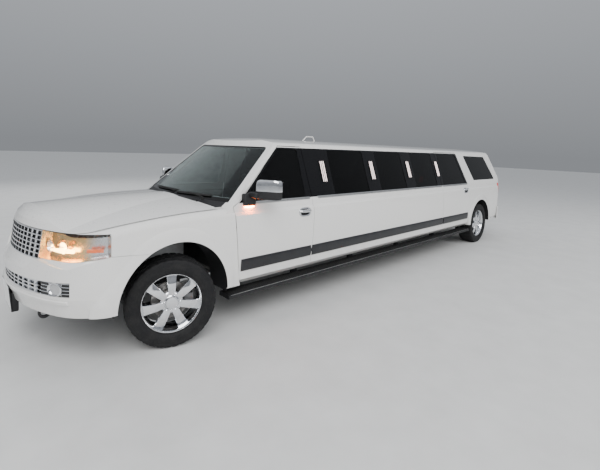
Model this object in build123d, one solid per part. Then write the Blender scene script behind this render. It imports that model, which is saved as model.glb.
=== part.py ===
from build123d import *
from math import atan2, cos, degrees, hypot, pi, radians, sin, sqrt, tan
import os

# X forward, Y left, Z up, in millimetres, from the ground under the middle of the car's length.
# What the stretch moves is placed from the front wheels, the rear wheels, the nose or the tail.

# Overall sizes
LENGTH = 9354
WHEELBASE = 6832
FRONT_OVERHANG = 1165
HEIGHT = 1945
WIDTH = 2002
TRACK = 1704

X_NOSE, X_TAIL = LENGTH / 2, -LENGTH / 2
X_FRONT = X_NOSE - FRONT_OVERHANG
X_REAR = X_FRONT - WHEELBASE
HALF = WIDTH / 2
REACH = 1.5 * LENGTH

# Clearances
SEAT = 0.3
DOOR_GAP = 8
PANEL_GAP = 5

# Planes clear of the whole body, and one well inside its left wall, for the blocks that cut or keep
BESIDE, ABOVE, AHEAD, BEHIND, WELL_IN = HALF + 199, HEIGHT + 155, X_NOSE + 9, X_TAIL - 100, HALF - 501

# Cabin section, as half widths at their heights
SILL_Z, SILL_Y = 430, HALF - 66
SKIRT_Z, SKIRT_Y = 480, HALF - 16
WIDE_Z, WIDE_Y = 760, HALF
SHOULDER_Z, SHOULDER_Y = 1140, HALF - 9
LEDGE_Z, LEDGE_Y = 1172, HALF - 33
BELT_Z, BELT_Y = 1250, HALF - 49
TUMBLEHOME = 18.6
CROWN_RADIUS = 4424
RAIL_RADIUS = 110

# Wall thicknesses
DOOR_WALL = 70
FRAME_WALL = 50
ROOF_WALL = 40
END_WALL = 45
FRONT_WALL = 20
GLASS = 5
GLASS_DEPTH = 5

# Roof seen from the side
ROOF_FRONT_X, ROOF_FRONT_RADIUS = X_FRONT - 1675, 2500
ROOF_REAR_X, ROOF_REAR_RADIUS = X_TAIL + 1414, 6500
ROOF_SPLIT_Y = HALF - 311

# Windshield and rear glass: centre line points (x, z) and the radius across
SHIELD_FOOT, SHIELD_HEAD, SHIELD_RADIUS = (X_FRONT - 400, 1262), (X_FRONT - 1135, HEIGHT - 95), 4000
TAIL_FOOT, TAIL_HEAD, TAIL_RADIUS = (X_TAIL + 124, 1290), (X_TAIL + 424, HEIGHT - 65), 6000
HEADER_Z, SHIELD_IN, SHIELD_UNDER = HEIGHT - 110, 62, 60
SHIELD_INNER_X, TAIL_INNER_X = X_FRONT - 1575, X_TAIL + 714
GATE_IN, GATE_BOTTOM, GATE_TOP = 150, 712, HEIGHT - 133
GATE_WINDOW_IN, GATE_WINDOW_Z = (215, 190), (1310, HEIGHT - 185)

# Doors and their windows: outline (x, z) of the left side
DOOR_BOTTOM, DOOR_TOP, WINDOW_FOOT, WINDOW_TOP = 462, HEIGHT - 99, 1268, HEIGHT - 127
FRONT_DOOR = [(X_FRONT - 650, DOOR_BOTTOM), (X_FRONT - 580, 1225), (X_FRONT - 650, 1262),
              (X_FRONT - 1320, DOOR_TOP), (X_FRONT - 1875, DOOR_TOP), (X_FRONT - 1875, DOOR_BOTTOM)]
FRONT_WINDOW = [(X_FRONT - 695, WINDOW_FOOT), (X_FRONT - 1313, WINDOW_TOP), (X_FRONT - 1617, WINDOW_TOP),
                (X_FRONT - 1617, WINDOW_FOOT)]
REAR_DOOR = [(X_REAR + 1697, DOOR_BOTTOM), (X_REAR + 1697, DOOR_TOP), (X_REAR + 407, DOOR_TOP),
             (X_REAR + 407, DOOR_BOTTOM)]
REAR_WINDOW = [(X_REAR + 1617, WINDOW_FOOT), (X_REAR + 1617, WINDOW_TOP), (X_REAR + 862, WINDOW_TOP),
               (X_REAR + 667, WINDOW_FOOT)]

# The doors' rear edges, each as two points and how far the cut slants; the rear door has one above the belt
HEAD_Y, HEAD_Z = HALF - 231, HEIGHT - 125
EDGE_SLANT, PILLAR_SLANT = 0.30, 0.38
FRONT_EDGE = (X_FRONT - 1695, WIDE_Y, SILL_Z), (X_FRONT - 1689, HEAD_Y, HEAD_Z)
REAR_EDGE = (X_REAR + 602, WIDE_Y, SILL_Z), (X_REAR + 593, BELT_Y, BELT_Z)
REAR_PILLAR = (X_REAR + 593, BELT_Y, BELT_Z), (X_REAR + 789, HEAD_Y, HEAD_Z)

# Door hinges: how far the line lies behind the door's front edge and under its skin, and their heights
HINGE_BACK, HINGE_UNDER = 45, 18
DOOR_HINGES = (150, 570)
HINGE_PIN, HINGE_KNUCKLE, HINGE_ARM, HINGE_POCKET = 6, 8, 46, 92

# Fixed side windows: (rear x, front x), with the pillars between them for the opera lights
PILLAR_HALF, PILLAR_PITCH = 150, 1020
PILLAR_MIDDLE = (X_FRONT + X_REAR) / 2 - 163
PILLAR_X = [PILLAR_MIDDLE + PILLAR_PITCH / 2, PILLAR_MIDDLE - PILLAR_PITCH / 2]
SIDE_WINDOWS = [(PILLAR_X[0] + PILLAR_HALF, X_FRONT - 2159),
                (PILLAR_X[1] + PILLAR_HALF, PILLAR_X[0] - PILLAR_HALF),
                (X_REAR + 1863, PILLAR_X[1] - PILLAR_HALF)]
OPERA_X = [SIDE_WINDOWS[0][1] + 150, *PILLAR_X, SIDE_WINDOWS[2][0] - 111]
OPERA_HALF, OPERA_Z = 50, (1420, 1690)
WINDOW_ROUND = 25
QUARTER_WINDOW = [(X_REAR + 247, 1312), (X_REAR + 467, HEIGHT - 145), (X_TAIL + 754, HEIGHT - 155),
                  (X_TAIL + 464, 1308)]

# Wheel arches: centre x and z, and radius; the flare round them falls away along an arc
FRONT_ARCH = (X_FRONT + 30, 441, 526)
REAR_ARCH = (X_REAR, 430, 478)
FLARE_OUT, FLARE_LIP, FLARE_RADIUS, FLARE_TURN, FLARE_INNER = 13, 20, 250, 43, 68

# Front clip: the hood falls along a large arc from the cowl
COWL_X, COWL_Z, COWL_HALF = X_FRONT - 505, 1275, HALF - 141
HOOD_FALL_RADIUS = 8500
HOOD_AXIS_Z = COWL_Z - HOOD_FALL_RADIUS
HOOD_CROWN_RADIUS = 6780
HOOD_CORNER_RADIUS = 80
DOME_RISE, DOME_HALF, DOME_FALL_RADIUS, DOME_CROWN_RADIUS = 8, HALF - 51, 21000, 2515
FENDER_TOP_Z = 1100
CREASE_Z = 1214
HOOD_LIP_Z = 1108
HOOD_REAR_GAP, HOOD_CORNER = 52, (X_FRONT - 409, COWL_HALF - 8)
HOOD_HINGE, HOOD_HINGE_Y = (X_FRONT - 415, 1225), 500
LAMP_REAR_X, LAMP_INNER_Y, LAMP_DEPTH = X_NOSE - 562, HALF - 451, 70
BUMPER_BOTTOM_Z, BUMPER_WALL, CHIN_LEAN = 450, 45, 16
PANEL_SPLIT_X, HINGE_PILLAR_X, FENDER_INNER_Y = X_REAR + 557, X_FRONT - 515, HALF - 401

# The line between the bumper below and the fender and headlight above, as (x, z)
SPLIT_LINE = [(FRONT_ARCH[0], 905), (X_FRONT + 325, 905), (LAMP_REAR_X, 925), (X_NOSE - 320, 889),
              (AHEAD, 886)]
SPLIT_GAP = 2

# Plan outlines of the two ends: (end x, half width, bow radius, bow angle)
NOSE_PLAN = (X_NOSE, HALF + 3, 1500, 30)
FACE_PLAN = (X_NOSE - 50, HALF + 11, 1500, 30)
REAR_BUMPER_Z = (400, 700)
REAR_PLAN = (X_TAIL + 74, HALF + 11, 4000, 11)
TAIL_PLAN = (X_TAIL, HALF + 5, 4000, 11)

# The leaning face of lamps and grille, and the bevels that round it into the hood, each with the set
# back from the face's plan outline, its lean and the height where it has that size
FACE_LEAN, FACE_LEVEL, FACE_INSET = 7, 880, 30
NOSE_BEVELS = [(28, 27, 1112), (53, 47, 1160), (96, 67, 1200)]

# The egg-crate grille and the ledge under it
GRILLE_BAR, GRILLE_DEPTH, GRILLE_Z0 = 9, 40, 870
GRILLE_ROWS, GRILLE_COLUMNS = 6, 8
LEDGE_REACH, LEDGE_THICK = 130, 25

# The lower intake as seen from ahead (y, z), with its inset mesh and the fog lamp in its outer end
INTAKE = [(-1, 600), (HALF - 131, 622), (HALF - 131, 735), (-1, 705)]
INTAKE_INSET, MESH_ROWS, MESH_COLUMNS, MESH_Y = 12, 3, 8, HALF - 361
MESH_Z = (622, 706)
FOG_Y, FOG_Z, FOG_RADIUS, FOG_INSET = HALF - 241, 672, 44, 18
PLATE_SPACING, PLATE_HOLE = 177.8, 3
FRONT_PLATE_Z, REAR_PLATE_Z = 530, 900

# Notches in the bumper's upper edge under the grille and under each headlight: the height where the
# shelf starts to lean back, its lean, and the outline (y, z)
BUMPER_NOTCHES = [
    (785, 31, [(-1, 785), (HALF - 571, 785), (HALF - 411, 886), (HALF - 411, ABOVE), (-1, ABOVE)]),
    (832, 42, [(HALF - 411, 886), (HALF - 143, 837), (HALF - 16, 912), (HALF - 16, ABOVE),
               (HALF - 411, ABOVE)]),
]

# Wheels: half width less the drop to the rim, the face and the hat, in from the tyre's outer side
TYRE_DIAMETER, TYRE_WIDTH, RIM_RADIUS = 812, 275, 262
TYRE_WALL = TYRE_DIAMETER / 2 - RIM_RADIUS
WHEEL_Z = TYRE_DIAMETER / 2
WHEEL_DROP, FACE_DROP, HAT_DEPTH, DISC_WIDTH = 22, 34, 50, 40
DISC_Y = TRACK / 2 + TYRE_WIDTH / 2 - WHEEL_DROP - FACE_DROP - HAT_DEPTH - DISC_WIDTH
SPOKES, HUB_RADIUS, DISC_RADIUS, SPINDLE = 7, 78, 172, 26
KINGPIN_Y, KINGPIN_RADIUS = TRACK / 2 - 91, 13
ARM_WAIST_Y, UPPER_ARM_TOP = KINGPIN_Y - 141, WHEEL_Z + 162
STEER_ANGLE = -17

# Where the wheel wells end inside
REAR_WELL_Y, FRONT_WELL_Y = 664, 690

# Chassis: the cross tubes are counted from the front, with three between the engine and the tank
FLOOR_Z = (510, 538)
RAIL_Y, RAIL_Z = (430, 500), (434, FLOOR_Z[0] - SEAT)
ARM_FOOT_Y = 482
CROSS_PITCH = 1200
CROSS_AHEAD, CROSS_BEHIND = X_FRONT - 1575, X_REAR + 657
CROSS_MIDDLE = (CROSS_AHEAD + CROSS_BEHIND) / 2
CROSS_X = [X_FRONT + 675, X_FRONT - 615, CROSS_AHEAD, CROSS_MIDDLE + CROSS_PITCH, CROSS_MIDDLE,
           CROSS_MIDDLE - CROSS_PITCH, CROSS_BEHIND, X_REAR - 693, X_TAIL + 234]
CROSS_RADIUS = 30
CROSS_Z = sum(RAIL_Z) / 2
CROSS_UNDER = CROSS_Z - CROSS_RADIUS - SEAT
DIFF_RADIUS = 100
OUTRIGGER_Y, OUTRIGGER_Z = HALF - 151, RAIL_Z[1] - 40
BOARD_Z = (318, 358)
GEARBOX_X = X_FRONT - 1175

# Cabin furniture
FIREWALL_X = (X_FRONT - 563, X_FRONT - 535)
PARTITION_X = (X_FRONT - 2015, X_FRONT - 1975)
DRIVER_X, DRIVER_Y = X_FRONT - 1195, 400
LOUNGE_REAR_X = X_REAR + 657
COWL_LAYER = (50, 62)
COLUMN_LEAN = 25
COLUMN = Plane(origin=(X_FRONT - 1185, DRIVER_Y, 1085), x_dir=(0, 1, 0),
               z_dir=(-cos(radians(COLUMN_LEAN)), 0, sin(radians(COLUMN_LEAN))))

# Door mirror: plan outline from its inner front corner, heights and rounding
MIRROR_X = X_FRONT - 745
MIRROR_PLAN = [(MIRROR_X, HALF + 44), (MIRROR_X - 25, HALF + 109), (MIRROR_X - 140, HALF + 234),
               (MIRROR_X - 208, HALF + 261), (MIRROR_X - 240, HALF + 239), (MIRROR_X - 180, HALF + 44)]
MIRROR_Z, MIRROR_ROUND = (1288, 1502), 22

# Tail lamp's inner front corner with its heights, and the roof's hoop aerial
TAIL_LAMP = (X_TAIL + 364, HALF - 133, 950, 1215)
WIPER_Y, WIPER_LENGTH = (40, -560), 580
AERIAL_X, AERIAL_RISE, AERIAL_TUBE = (X_FRONT - 2750, X_FRONT - 2480), 68, 8


def half_space(point, normal, size=14000):
    """A large block with one face through point, on the side that normal points to."""
    return Plane(origin=point, z_dir=normal) * (Pos(0, 0, size / 2) * Box(size, size, size))


def outline_wire(points, radius):
    if radius:
        return FilletPolyline(*points, radius=radius, close=True)
    return Polyline(*points, close=True)


def side_prism(points, y0, y1, radius=0, grow=0):
    """An outline of (x, z) points, rounded and grown, through from y0 to y1."""
    face = make_face(outline_wire(points, radius).edges())
    if grow:
        face = offset(face, grow, kind=Kind.INTERSECTION)
    return extrude(Pos(0, y0, 0) * (Plane.XZ * face), y1 - y0, dir=(0, 1, 0))


def plan_prism(points, z0, z1, radius=0, grow=0):
    """An outline of (x, y) points, through from z0 to z1."""
    face = make_face(outline_wire(points, radius).edges())
    if grow:
        face = offset(face, grow, kind=Kind.INTERSECTION)
    return extrude(Pos(0, 0, z0) * face, z1 - z0, dir=(0, 0, 1))


def cross_prism(face, x0, x1):
    """A face drawn in (y, z), through from x0 to x1."""
    return extrude(Pos(x0, 0, 0) * (Plane.YZ * face), x1 - x0, dir=(1, 0, 0))


def block(x0, x1, y0, y1, z0, z1):
    return Pos((x0 + x1) / 2, (y0 + y1) / 2, (z0 + z1) / 2) * Box(x1 - x0, y1 - y0, z1 - z0)


def rod_x(y, z, x0, x1, radius):
    return Pos((x0 + x1) / 2, y, z) * (Rot(0, 90, 0) * Cylinder(radius, x1 - x0))


def rod_y(x, z, y0, y1, radius):
    return Pos(x, (y0 + y1) / 2, z) * (Rot(90, 0, 0) * Cylinder(radius, y1 - y0))


def rod_z(x, y, z0, z1, radius):
    return Pos(x, y, (z0 + z1) / 2) * Cylinder(radius, z1 - z0)


def other_side(shape):
    return mirror(shape, about=Plane.XZ)


def both_sides(shape):
    return shape + other_side(shape)


# Sections

def crown_edges(start, lean, crown_z, crown_radius, corner_radius):
    """A side line that leans in by lean degrees and a corner arc, then the crown arc to the other side."""
    u = (-sin(radians(lean)), cos(radians(lean)))
    n = (-u[1], u[0])
    centre_z = crown_z - crown_radius
    y, z = start[0] + corner_radius * n[0], start[1] + corner_radius * n[1] - centre_z
    along = y * u[0] + z * u[1]
    rest = y * y + z * z - (crown_radius - corner_radius) ** 2
    t = -along + sqrt(along * along - rest)
    corner = (y + t * u[0], z + t * u[1] + centre_z)
    first = (start[0] + t * u[0], start[1] + t * u[1])
    a0, a1 = atan2(-n[1], -n[0]), atan2(corner[1] - centre_z, corner[0])

    def on(centre, radius, angle):
        return (centre[0] + radius * cos(angle), centre[1] + radius * sin(angle))

    last = on((0, centre_z), crown_radius, a1)
    side = [Line(start, first), ThreePointArc(first, on(corner, corner_radius, (a0 + a1) / 2), last)]
    return side, ThreePointArc(last, (0, crown_z), (-last[0], last[1]))


def closed_section(side, crown, foot):
    """A face between the left side's edges, their mirror image, the crown and the floor line."""
    left = Curve() + side
    edges = left.edges() + mirror(left, about=Plane.YZ).edges() + crown.edges()
    return make_face(edges + Line((-foot[0], foot[1]), foot).edges())


def cabin_section(lower=0, upper=0, top=0, drop=0):
    """Section of the cabin: moved in by lower below the belt, by upper above it, by top above."""
    foot = (SILL_Y - lower, SILL_Z - drop)
    skirt = (SKIRT_Y - lower, SKIRT_Z)
    shoulder = (SHOULDER_Y - lower, SHOULDER_Z)
    ledge = (LEDGE_Y - lower, LEDGE_Z)
    belt = (BELT_Y - upper, BELT_Z)
    corner = max(RAIL_RADIUS - upper, 30)
    side, crown = crown_edges(belt, TUMBLEHOME, HEIGHT - top, CROWN_RADIUS - top, corner)
    side = [Line(foot, skirt), ThreePointArc(skirt, (WIDE_Y - lower, WIDE_Z), shoulder),
            Line(shoulder, ledge), Line(ledge, belt)] + side
    return closed_section(side, crown, foot)


def front_section(inset=0):
    """Section of the front clip at the cowl."""
    foot, low = (WIDE_Y - inset, 0), (WIDE_Y - inset, WIDE_Z)
    fall = WIDE_Y - SHOULDER_Y
    bulge = (WIDE_Y - inset - fall / 4, (WIDE_Z + FENDER_TOP_Z) / 2)
    high = (SHOULDER_Y - inset, FENDER_TOP_Z)
    lean = degrees(atan2(2 * fall, FENDER_TOP_Z - WIDE_Z))
    side, crown = crown_edges(high, lean, COWL_Z - inset, HOOD_CROWN_RADIUS, HOOD_CORNER_RADIUS - inset)
    side = [Line(foot, low), ThreePointArc(low, bulge, high)] + side
    return closed_section(side, crown, foot)


# Envelopes

def roof_profile(top=0):
    """The body seen from the side, with the roof falling along arcs to both ends."""
    z = HEIGHT + 1 - top
    front_turn, rear_turn = radians(32), radians(13)
    front_end = (ROOF_FRONT_X + ROOF_FRONT_RADIUS * sin(front_turn),
                 z - ROOF_FRONT_RADIUS * (1 - cos(front_turn)))
    rear_end = (ROOF_REAR_X - ROOF_REAR_RADIUS * sin(rear_turn),
                z - ROOF_REAR_RADIUS * (1 - cos(rear_turn)))
    edges = [
        Line((ROOF_REAR_X, z), (ROOF_FRONT_X, z)),
        TangentArc((ROOF_FRONT_X, z), front_end, tangent=(1, 0)),
        Polyline(front_end, (front_end[0], 0), (rear_end[0], 0), rear_end),
        TangentArc((ROOF_REAR_X, z), rear_end, tangent=(-1, 0)),
    ]
    face = make_face([e for edge in edges for e in edge.edges()])
    return extrude(Pos(0, -WIDTH, 0) * (Plane.XZ * face), 2 * WIDTH, dir=(0, 1, 0))


def bowed_end(foot, head, radius, inset=0):
    """Everything behind a glass surface that leans along foot to head and is bowed across the car."""
    dx, dz = head[0] - foot[0], head[1] - foot[1]
    long = hypot(dx, dz)
    d = Vector(dx / long, 0, dz / long)
    n = Vector(d.Z, 0, -d.X) if foot[0] > 0 else Vector(-d.Z, 0, d.X)
    half, depth = WIDTH, radius - sqrt(radius ** 2 - WIDTH ** 2)
    arc = ThreePointArc((half, -depth - inset), (0, -inset), (-half, -depth - inset))
    rest = Polyline((-half, -depth - inset), (-half, -REACH), (half, -REACH), (half, -depth - inset))
    face = make_face(arc.edges() + rest.edges())
    base = Plane(origin=Vector(foot[0], 0, foot[1]) - d * REACH, x_dir=n.cross(d), z_dir=d)
    return extrude(base * face, 2 * REACH, dir=d)


def plan_outline(x_end, side_y, bow_radius, bow_angle, inset=0):
    """Plan outline of one end: a bow arc, corner arcs and straight sides, all tangent."""
    sign = 1 if x_end > 0 else -1
    a = radians(bow_angle)
    y1 = bow_radius * sin(a)
    corner = (side_y - y1) / (1 - sin(a))
    x2 = bow_radius * (1 - cos(a)) + corner * cos(a)
    bow, turn = bow_radius - inset, corner - inset
    centre = (x2, y1 - corner * sin(a))

    def at(depth, y):
        return (x_end - sign * depth, y)

    def on_corner(angle, side):
        return at(centre[0] - turn * cos(angle), side * (centre[1] + turn * sin(angle)))

    half = (a + pi / 2) / 2
    edges = [ThreePointArc(on_corner(a, 1), at(inset, 0), on_corner(a, -1))]
    for side in (1, -1):
        edges.append(ThreePointArc(on_corner(a, side), on_corner(half, side), on_corner(pi / 2, side)))
        edges.append(Line(on_corner(pi / 2, side), at(REACH, side * (side_y - inset))))
    edges.append(Line(at(REACH, side_y - inset), at(REACH, inset - side_y)))
    return make_face((Curve() + edges).edges())


def end_block(plan, z0, z1, inset=0, lean=0, level=0):
    """The block under a plan outline, which leans back by lean degrees and has its size at level."""
    face = plan_outline(*plan, inset=inset)
    back = -tan(radians(lean)) * (1 if plan[0] > 0 else -1)
    rise = Vector(back, 0, 1).normalized()
    return extrude(Pos(back * (z0 - level), 0, z0) * face, (z1 - z0) / rise.Z, dir=rise)


def cabin_envelope(lower=0, upper=0, top=0, drop=0, ends=0):
    """The cabin, or its inside when the walls are given."""
    body = cross_prism(cabin_section(lower, upper, top, drop), BEHIND, COWL_X + 240)
    body = body & roof_profile(top)
    body = body & bowed_end(SHIELD_FOOT, SHIELD_HEAD, SHIELD_RADIUS, ends)
    body = body & bowed_end(TAIL_FOOT, TAIL_HEAD, TAIL_RADIUS, ends)
    return body & end_block(REAR_PLAN, 0, ABOVE, ends)


def falling(section, crown_z, fall_radius, turn):
    """A section at the cowl, carried straight back and forward along a falling arc."""
    axis = Axis((COWL_X, 0, crown_z - fall_radius), (0, 1, 0))
    ahead = revolve(Pos(COWL_X, 0, 0) * (Plane.YZ * section), axis=axis, revolution_arc=turn)
    return ahead + cross_prism(section, COWL_X - 370, COWL_X)


def hood_dome(inset=0):
    """The raised middle of the hood, which widens and rises out of it towards the nose."""
    crown_z = COWL_Z + DOME_RISE
    disc = Pos(0, crown_z - DOME_CROWN_RADIUS) * Circle(DOME_CROWN_RADIUS - inset)
    section = disc & (Pos(0, COWL_Z - 375) * Rectangle(2 * DOME_HALF, 900))
    return falling(section, crown_z, DOME_FALL_RADIUS, 6)


def front_envelope(inset=0, face_inset=0):
    """The front clip behind the leaning face."""
    clip = falling(front_section(inset), COWL_Z, HOOD_FALL_RADIUS, 14) + hood_dome(inset)
    clip = clip & end_block(FACE_PLAN, 0, ABOVE, face_inset, FACE_LEAN, FACE_LEVEL)
    for back, lean, level in NOSE_BEVELS:
        plan = (FACE_PLAN[0] - back, *FACE_PLAN[1:])
        clip = clip & end_block(plan, 0, ABOVE, face_inset, lean, level)
    return clip


# Panels: each of these is the left one, unless it spans the car

def hood_region(grow=0):
    """Everything above the shoulder crease, ahead of the cowl and above the lamps."""
    above = block(COWL_X - 65 - grow, X_NOSE, -BESIDE, BESIDE, WELL_IN, ABOVE)
    above -= rod_y(COWL_X, HOOD_AXIS_Z, -BESIDE, BESIDE, CREASE_Z - grow - HOOD_AXIS_Z)
    above -= block(LAMP_REAR_X, AHEAD, -BESIDE, BESIDE, 0, HOOD_LIP_Z - grow)
    corner_x, corner_y = HOOD_CORNER
    above -= both_sides(block(0, corner_x - grow, corner_y + grow, BESIDE, 0, ABOVE))
    return above - bowed_end(SHIELD_FOOT, SHIELD_HEAD, SHIELD_RADIUS, grow - HOOD_REAR_GAP)


def arch_cut(arch, grow=0):
    x, z, radius = arch
    radius += grow
    return rod_y(x, z, WELL_IN, BESIDE, radius) + block(x - radius, x + radius, WELL_IN, BESIDE, 0, z)


def flare(arch):
    """A lip round a wheel arch, which falls away softly into the panel."""
    x, z, radius = arch
    inner, outer = WIDE_Y - FLARE_INNER, WIDE_Y + FLARE_OUT

    def on_arc(angle):
        a = radians(angle)
        return (radius + FLARE_LIP + FLARE_RADIUS * sin(a), outer - FLARE_RADIUS * (1 - cos(a)))

    end = on_arc(FLARE_TURN)
    arc = ThreePointArc(on_arc(0), on_arc(FLARE_TURN / 2), end)
    rest = Polyline(end, (end[0], inner), (radius, inner), (radius, outer), on_arc(0))
    profile = make_face(arc.edges() + rest.edges())
    ring = revolve(Pos(x, 0, z) * profile, axis=Axis((x, 0, z), (0, 1, 0)))
    return ring & block(x - 2 * radius, x + 2 * radius, WELL_IN, BESIDE, z, z + 2 * radius)


def rear_edge(point, top, slant, grow=0):
    """The space behind a door's rear edge, which runs from point to top and slants inwards."""
    edge = Vector(*top) - Vector(*point)
    normal = Vector(slant, -1, 0).cross(edge).normalized()
    if normal.X > 0:
        normal = -normal
    return half_space(Vector(*point) + normal * grow, normal)


def front_door_region(grow=0):
    region = side_prism(FRONT_DOOR, WELL_IN, BESIDE, grow=grow)
    return region - rear_edge(*FRONT_EDGE, EDGE_SLANT, grow)


def rear_door_region(grow=0):
    region = side_prism(REAR_DOOR, WELL_IN, BESIDE, grow=grow)
    region -= rear_edge(*REAR_EDGE, EDGE_SLANT, grow)
    return region - rear_edge(*REAR_PILLAR, PILLAR_SLANT, grow)


def window_prism(points, grow=0):
    return side_prism(points, WELL_IN, BESIDE, radius=WINDOW_ROUND, grow=grow)


def side_window(x0, x1):
    return [(x0, WINDOW_FOOT), (x0, WINDOW_TOP), (x1, WINDOW_TOP), (x1, WINDOW_FOOT)]


def gate_tube(grow=0):
    """The liftgate's opening seen from behind, carried through the tail."""
    tube = cross_prism(cabin_section(GATE_IN - grow, GATE_IN - 40 - grow, 85), BEHIND, TAIL_INNER_X)
    return tube & block(BEHIND, TAIL_INNER_X, -BESIDE, BESIDE, GATE_BOTTOM - grow, GATE_TOP + grow)


def windshield_tube(grow=0):
    inset = SHIELD_IN - grow
    tube = cross_prism(cabin_section(inset, inset, SHIELD_UNDER), SHIELD_INNER_X, AHEAD)
    return tube & block(SHIELD_INNER_X, AHEAD, -BESIDE, BESIDE, SHIELD_FOOT[1] - grow, HEADER_Z + grow)


def doors_and_sides(shell):
    """Doors, body side and quarter panel, cut from the cabin shell."""
    front_door = shell & front_door_region()
    rear_door = shell & rear_door_region()
    side = shell - front_door_region(DOOR_GAP) - rear_door_region(DOOR_GAP)
    side -= block(BEHIND, AHEAD, -1, ROOF_SPLIT_Y, 0, ABOVE)
    side -= gate_tube(PANEL_GAP)
    side -= windshield_tube()
    pillar_x = FRONT_DOOR[0][0] - 25
    behind_fender = block(pillar_x, X_FRONT, WELL_IN, BESIDE, 0, LEDGE_Z) - side_prism(FRONT_DOOR, 0, BESIDE)
    behind_fender += block(pillar_x, X_FRONT, WELL_IN, COWL_HALF, 0, SHIELD_FOOT[1])
    hinge_pillar = side & cabin_envelope(FRONT_WALL + SEAT, FRAME_WALL / 2)
    hinge_pillar = hinge_pillar & front_envelope(FRONT_WALL + SEAT)
    hinge_pillar = hinge_pillar & block(pillar_x, HINGE_PILLAR_X, COWL_HALF, BESIDE, 0, LEDGE_Z)
    quarter = side & block(BEHIND, PANEL_SPLIT_X, 0, BESIDE, 0, ABOVE)
    middle = side & block(PANEL_SPLIT_X, AHEAD, 0, BESIDE, 0, ABOVE)
    middle = (middle - behind_fender) + hinge_pillar
    for x0, x1 in SIDE_WINDOWS:
        middle -= window_prism(side_window(x0, x1))
    quarter -= window_prism(QUARTER_WINDOW)
    rear_flare = flare(REAR_ARCH) & block(BEHIND, PANEL_SPLIT_X, 0, BESIDE, 0, ABOVE)
    quarter = (quarter + (rear_flare - rear_door_region(DOOR_GAP))) - arch_cut(REAR_ARCH)
    front_door -= window_prism(FRONT_WINDOW)
    rear_door -= window_prism(REAR_WINDOW)
    return front_door, rear_door, middle, quarter


def hinge_frame(outline):
    """The hinge line's frame: Z along the line, X towards the door's front edge."""
    (x0, z0), (x1, z1) = outline[0], outline[1]
    along = Vector(x1 - x0, 0, z1 - z0).normalized()
    origin = Vector(x0, WIDE_Y - HINGE_UNDER, z0) - Vector(along.Z, 0, -along.X) * HINGE_BACK
    return Plane(origin=origin, x_dir=(along.Z, 0, -along.X), z_dir=along)


def cut_hinges(door, outline):
    """Pockets and pin holes behind the door's front edge."""
    for z in DOOR_HINGES:
        half = HINGE_ARM / 2 + 6
        pocket = rod_z(0, 0, z - half, z + half, HINGE_POCKET)
        pocket = pocket & block(-30, HINGE_POCKET, -HINGE_POCKET, HINGE_KNUCKLE + 1, z - half, z + half)
        pocket += rod_z(0, 0, z - half - 18, z + half + 18, HINGE_PIN + SEAT)
        door -= hinge_frame(outline) * pocket
    return door


def add_hinges(pillar, outline):
    """Gooseneck arms with pins, which stand in the door's pockets."""
    inner = HINGE_UNDER - DOOR_WALL - 16
    wall = HINGE_BACK + DOOR_GAP
    for z in DOOR_HINGES:
        z0, z1 = z - HINGE_ARM / 2, z + HINGE_ARM / 2
        arm = block(-HINGE_KNUCKLE, 4, inner, 0, z0, z1)
        arm += block(-HINGE_KNUCKLE, wall + 22, inner, inner + 12, z0, z1)
        arm += block(wall + 3, wall + 22, inner, inner + 45, z0, z1)
        arm += rod_z(0, 0, z0, z1, HINGE_KNUCKLE) + rod_z(0, 0, z0 - 16, z1 + 16, HINGE_PIN)
        pillar += hinge_frame(outline) * arm
    return pillar


def layer(depth, thickness):
    """The glass layer under the cabin's outer surface."""
    low, high = depth, depth + thickness
    return cabin_envelope(low, low, low, 0, low) - cabin_envelope(high, high, high, 60, high)


def glass_panes():
    sheet = layer(GLASS_DEPTH, GLASS)
    side = [sheet & window_prism(side_window(x0, x1), -SEAT) for x0, x1 in SIDE_WINDOWS]
    side.append(sheet & window_prism(QUARTER_WINDOW, -SEAT))
    front = sheet & window_prism(FRONT_WINDOW, -SEAT)
    rear = sheet & window_prism(REAR_WINDOW, -SEAT)
    shield = sheet & windshield_tube(-SEAT)
    gate = sheet & gate_window(-SEAT)
    return side, front, rear, shield, gate


def gate_window(grow=0):
    sides, upper = GATE_WINDOW_IN
    tube = cross_prism(cabin_section(sides - grow, upper - grow, 150 - grow), BEHIND, TAIL_INNER_X)
    z0, z1 = GATE_WINDOW_Z
    return tube & block(BEHIND, TAIL_INNER_X, -BESIDE, BESIDE, z0 - grow, z1 + grow)


# Front clip

def front_panels():
    outside, inside = front_envelope(), front_envelope(FRONT_WALL, FACE_INSET)
    hood = (outside & hood_region()) - inside
    (x0, z0), (x1, z1) = FRONT_DOOR[0], FRONT_DOOR[1]
    keep = side_prism([(x0, SILL_Z), (x0, z0), (x1, z1), (x1, ABOVE), (AHEAD, ABOVE), (AHEAD, SILL_Z)],
                      FENDER_INNER_Y, BESIDE)
    fender = ((outside + flare(FRONT_ARCH)) & keep) - inside - hood_region(PANEL_GAP)
    fender -= front_door_region(DOOR_GAP)
    foot = bowed_end(SHIELD_FOOT, SHIELD_HEAD, SHIELD_RADIUS, -PANEL_GAP)
    fender -= foot & block(SHIELD_INNER_X, AHEAD, 0, BESIDE, LEDGE_Z, ABOVE)
    fender -= block(0, X_FRONT, 0, COWL_HALF, 0, ABOVE) - hood_region(2 * PANEL_GAP)
    return hood, fender - arch_cut(FRONT_ARCH) - below_split(SPLIT_GAP) - lamp_region(SPLIT_GAP)


def below_split(rise=0):
    """Everything below the bumper's upper edge, from the middle of the wheel arch to the nose."""
    line = [(x, z + rise) for x, z in SPLIT_LINE]
    return side_prism(line + [(line[-1][0], 0), (line[0][0], 0)], -1, BESIDE)


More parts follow.
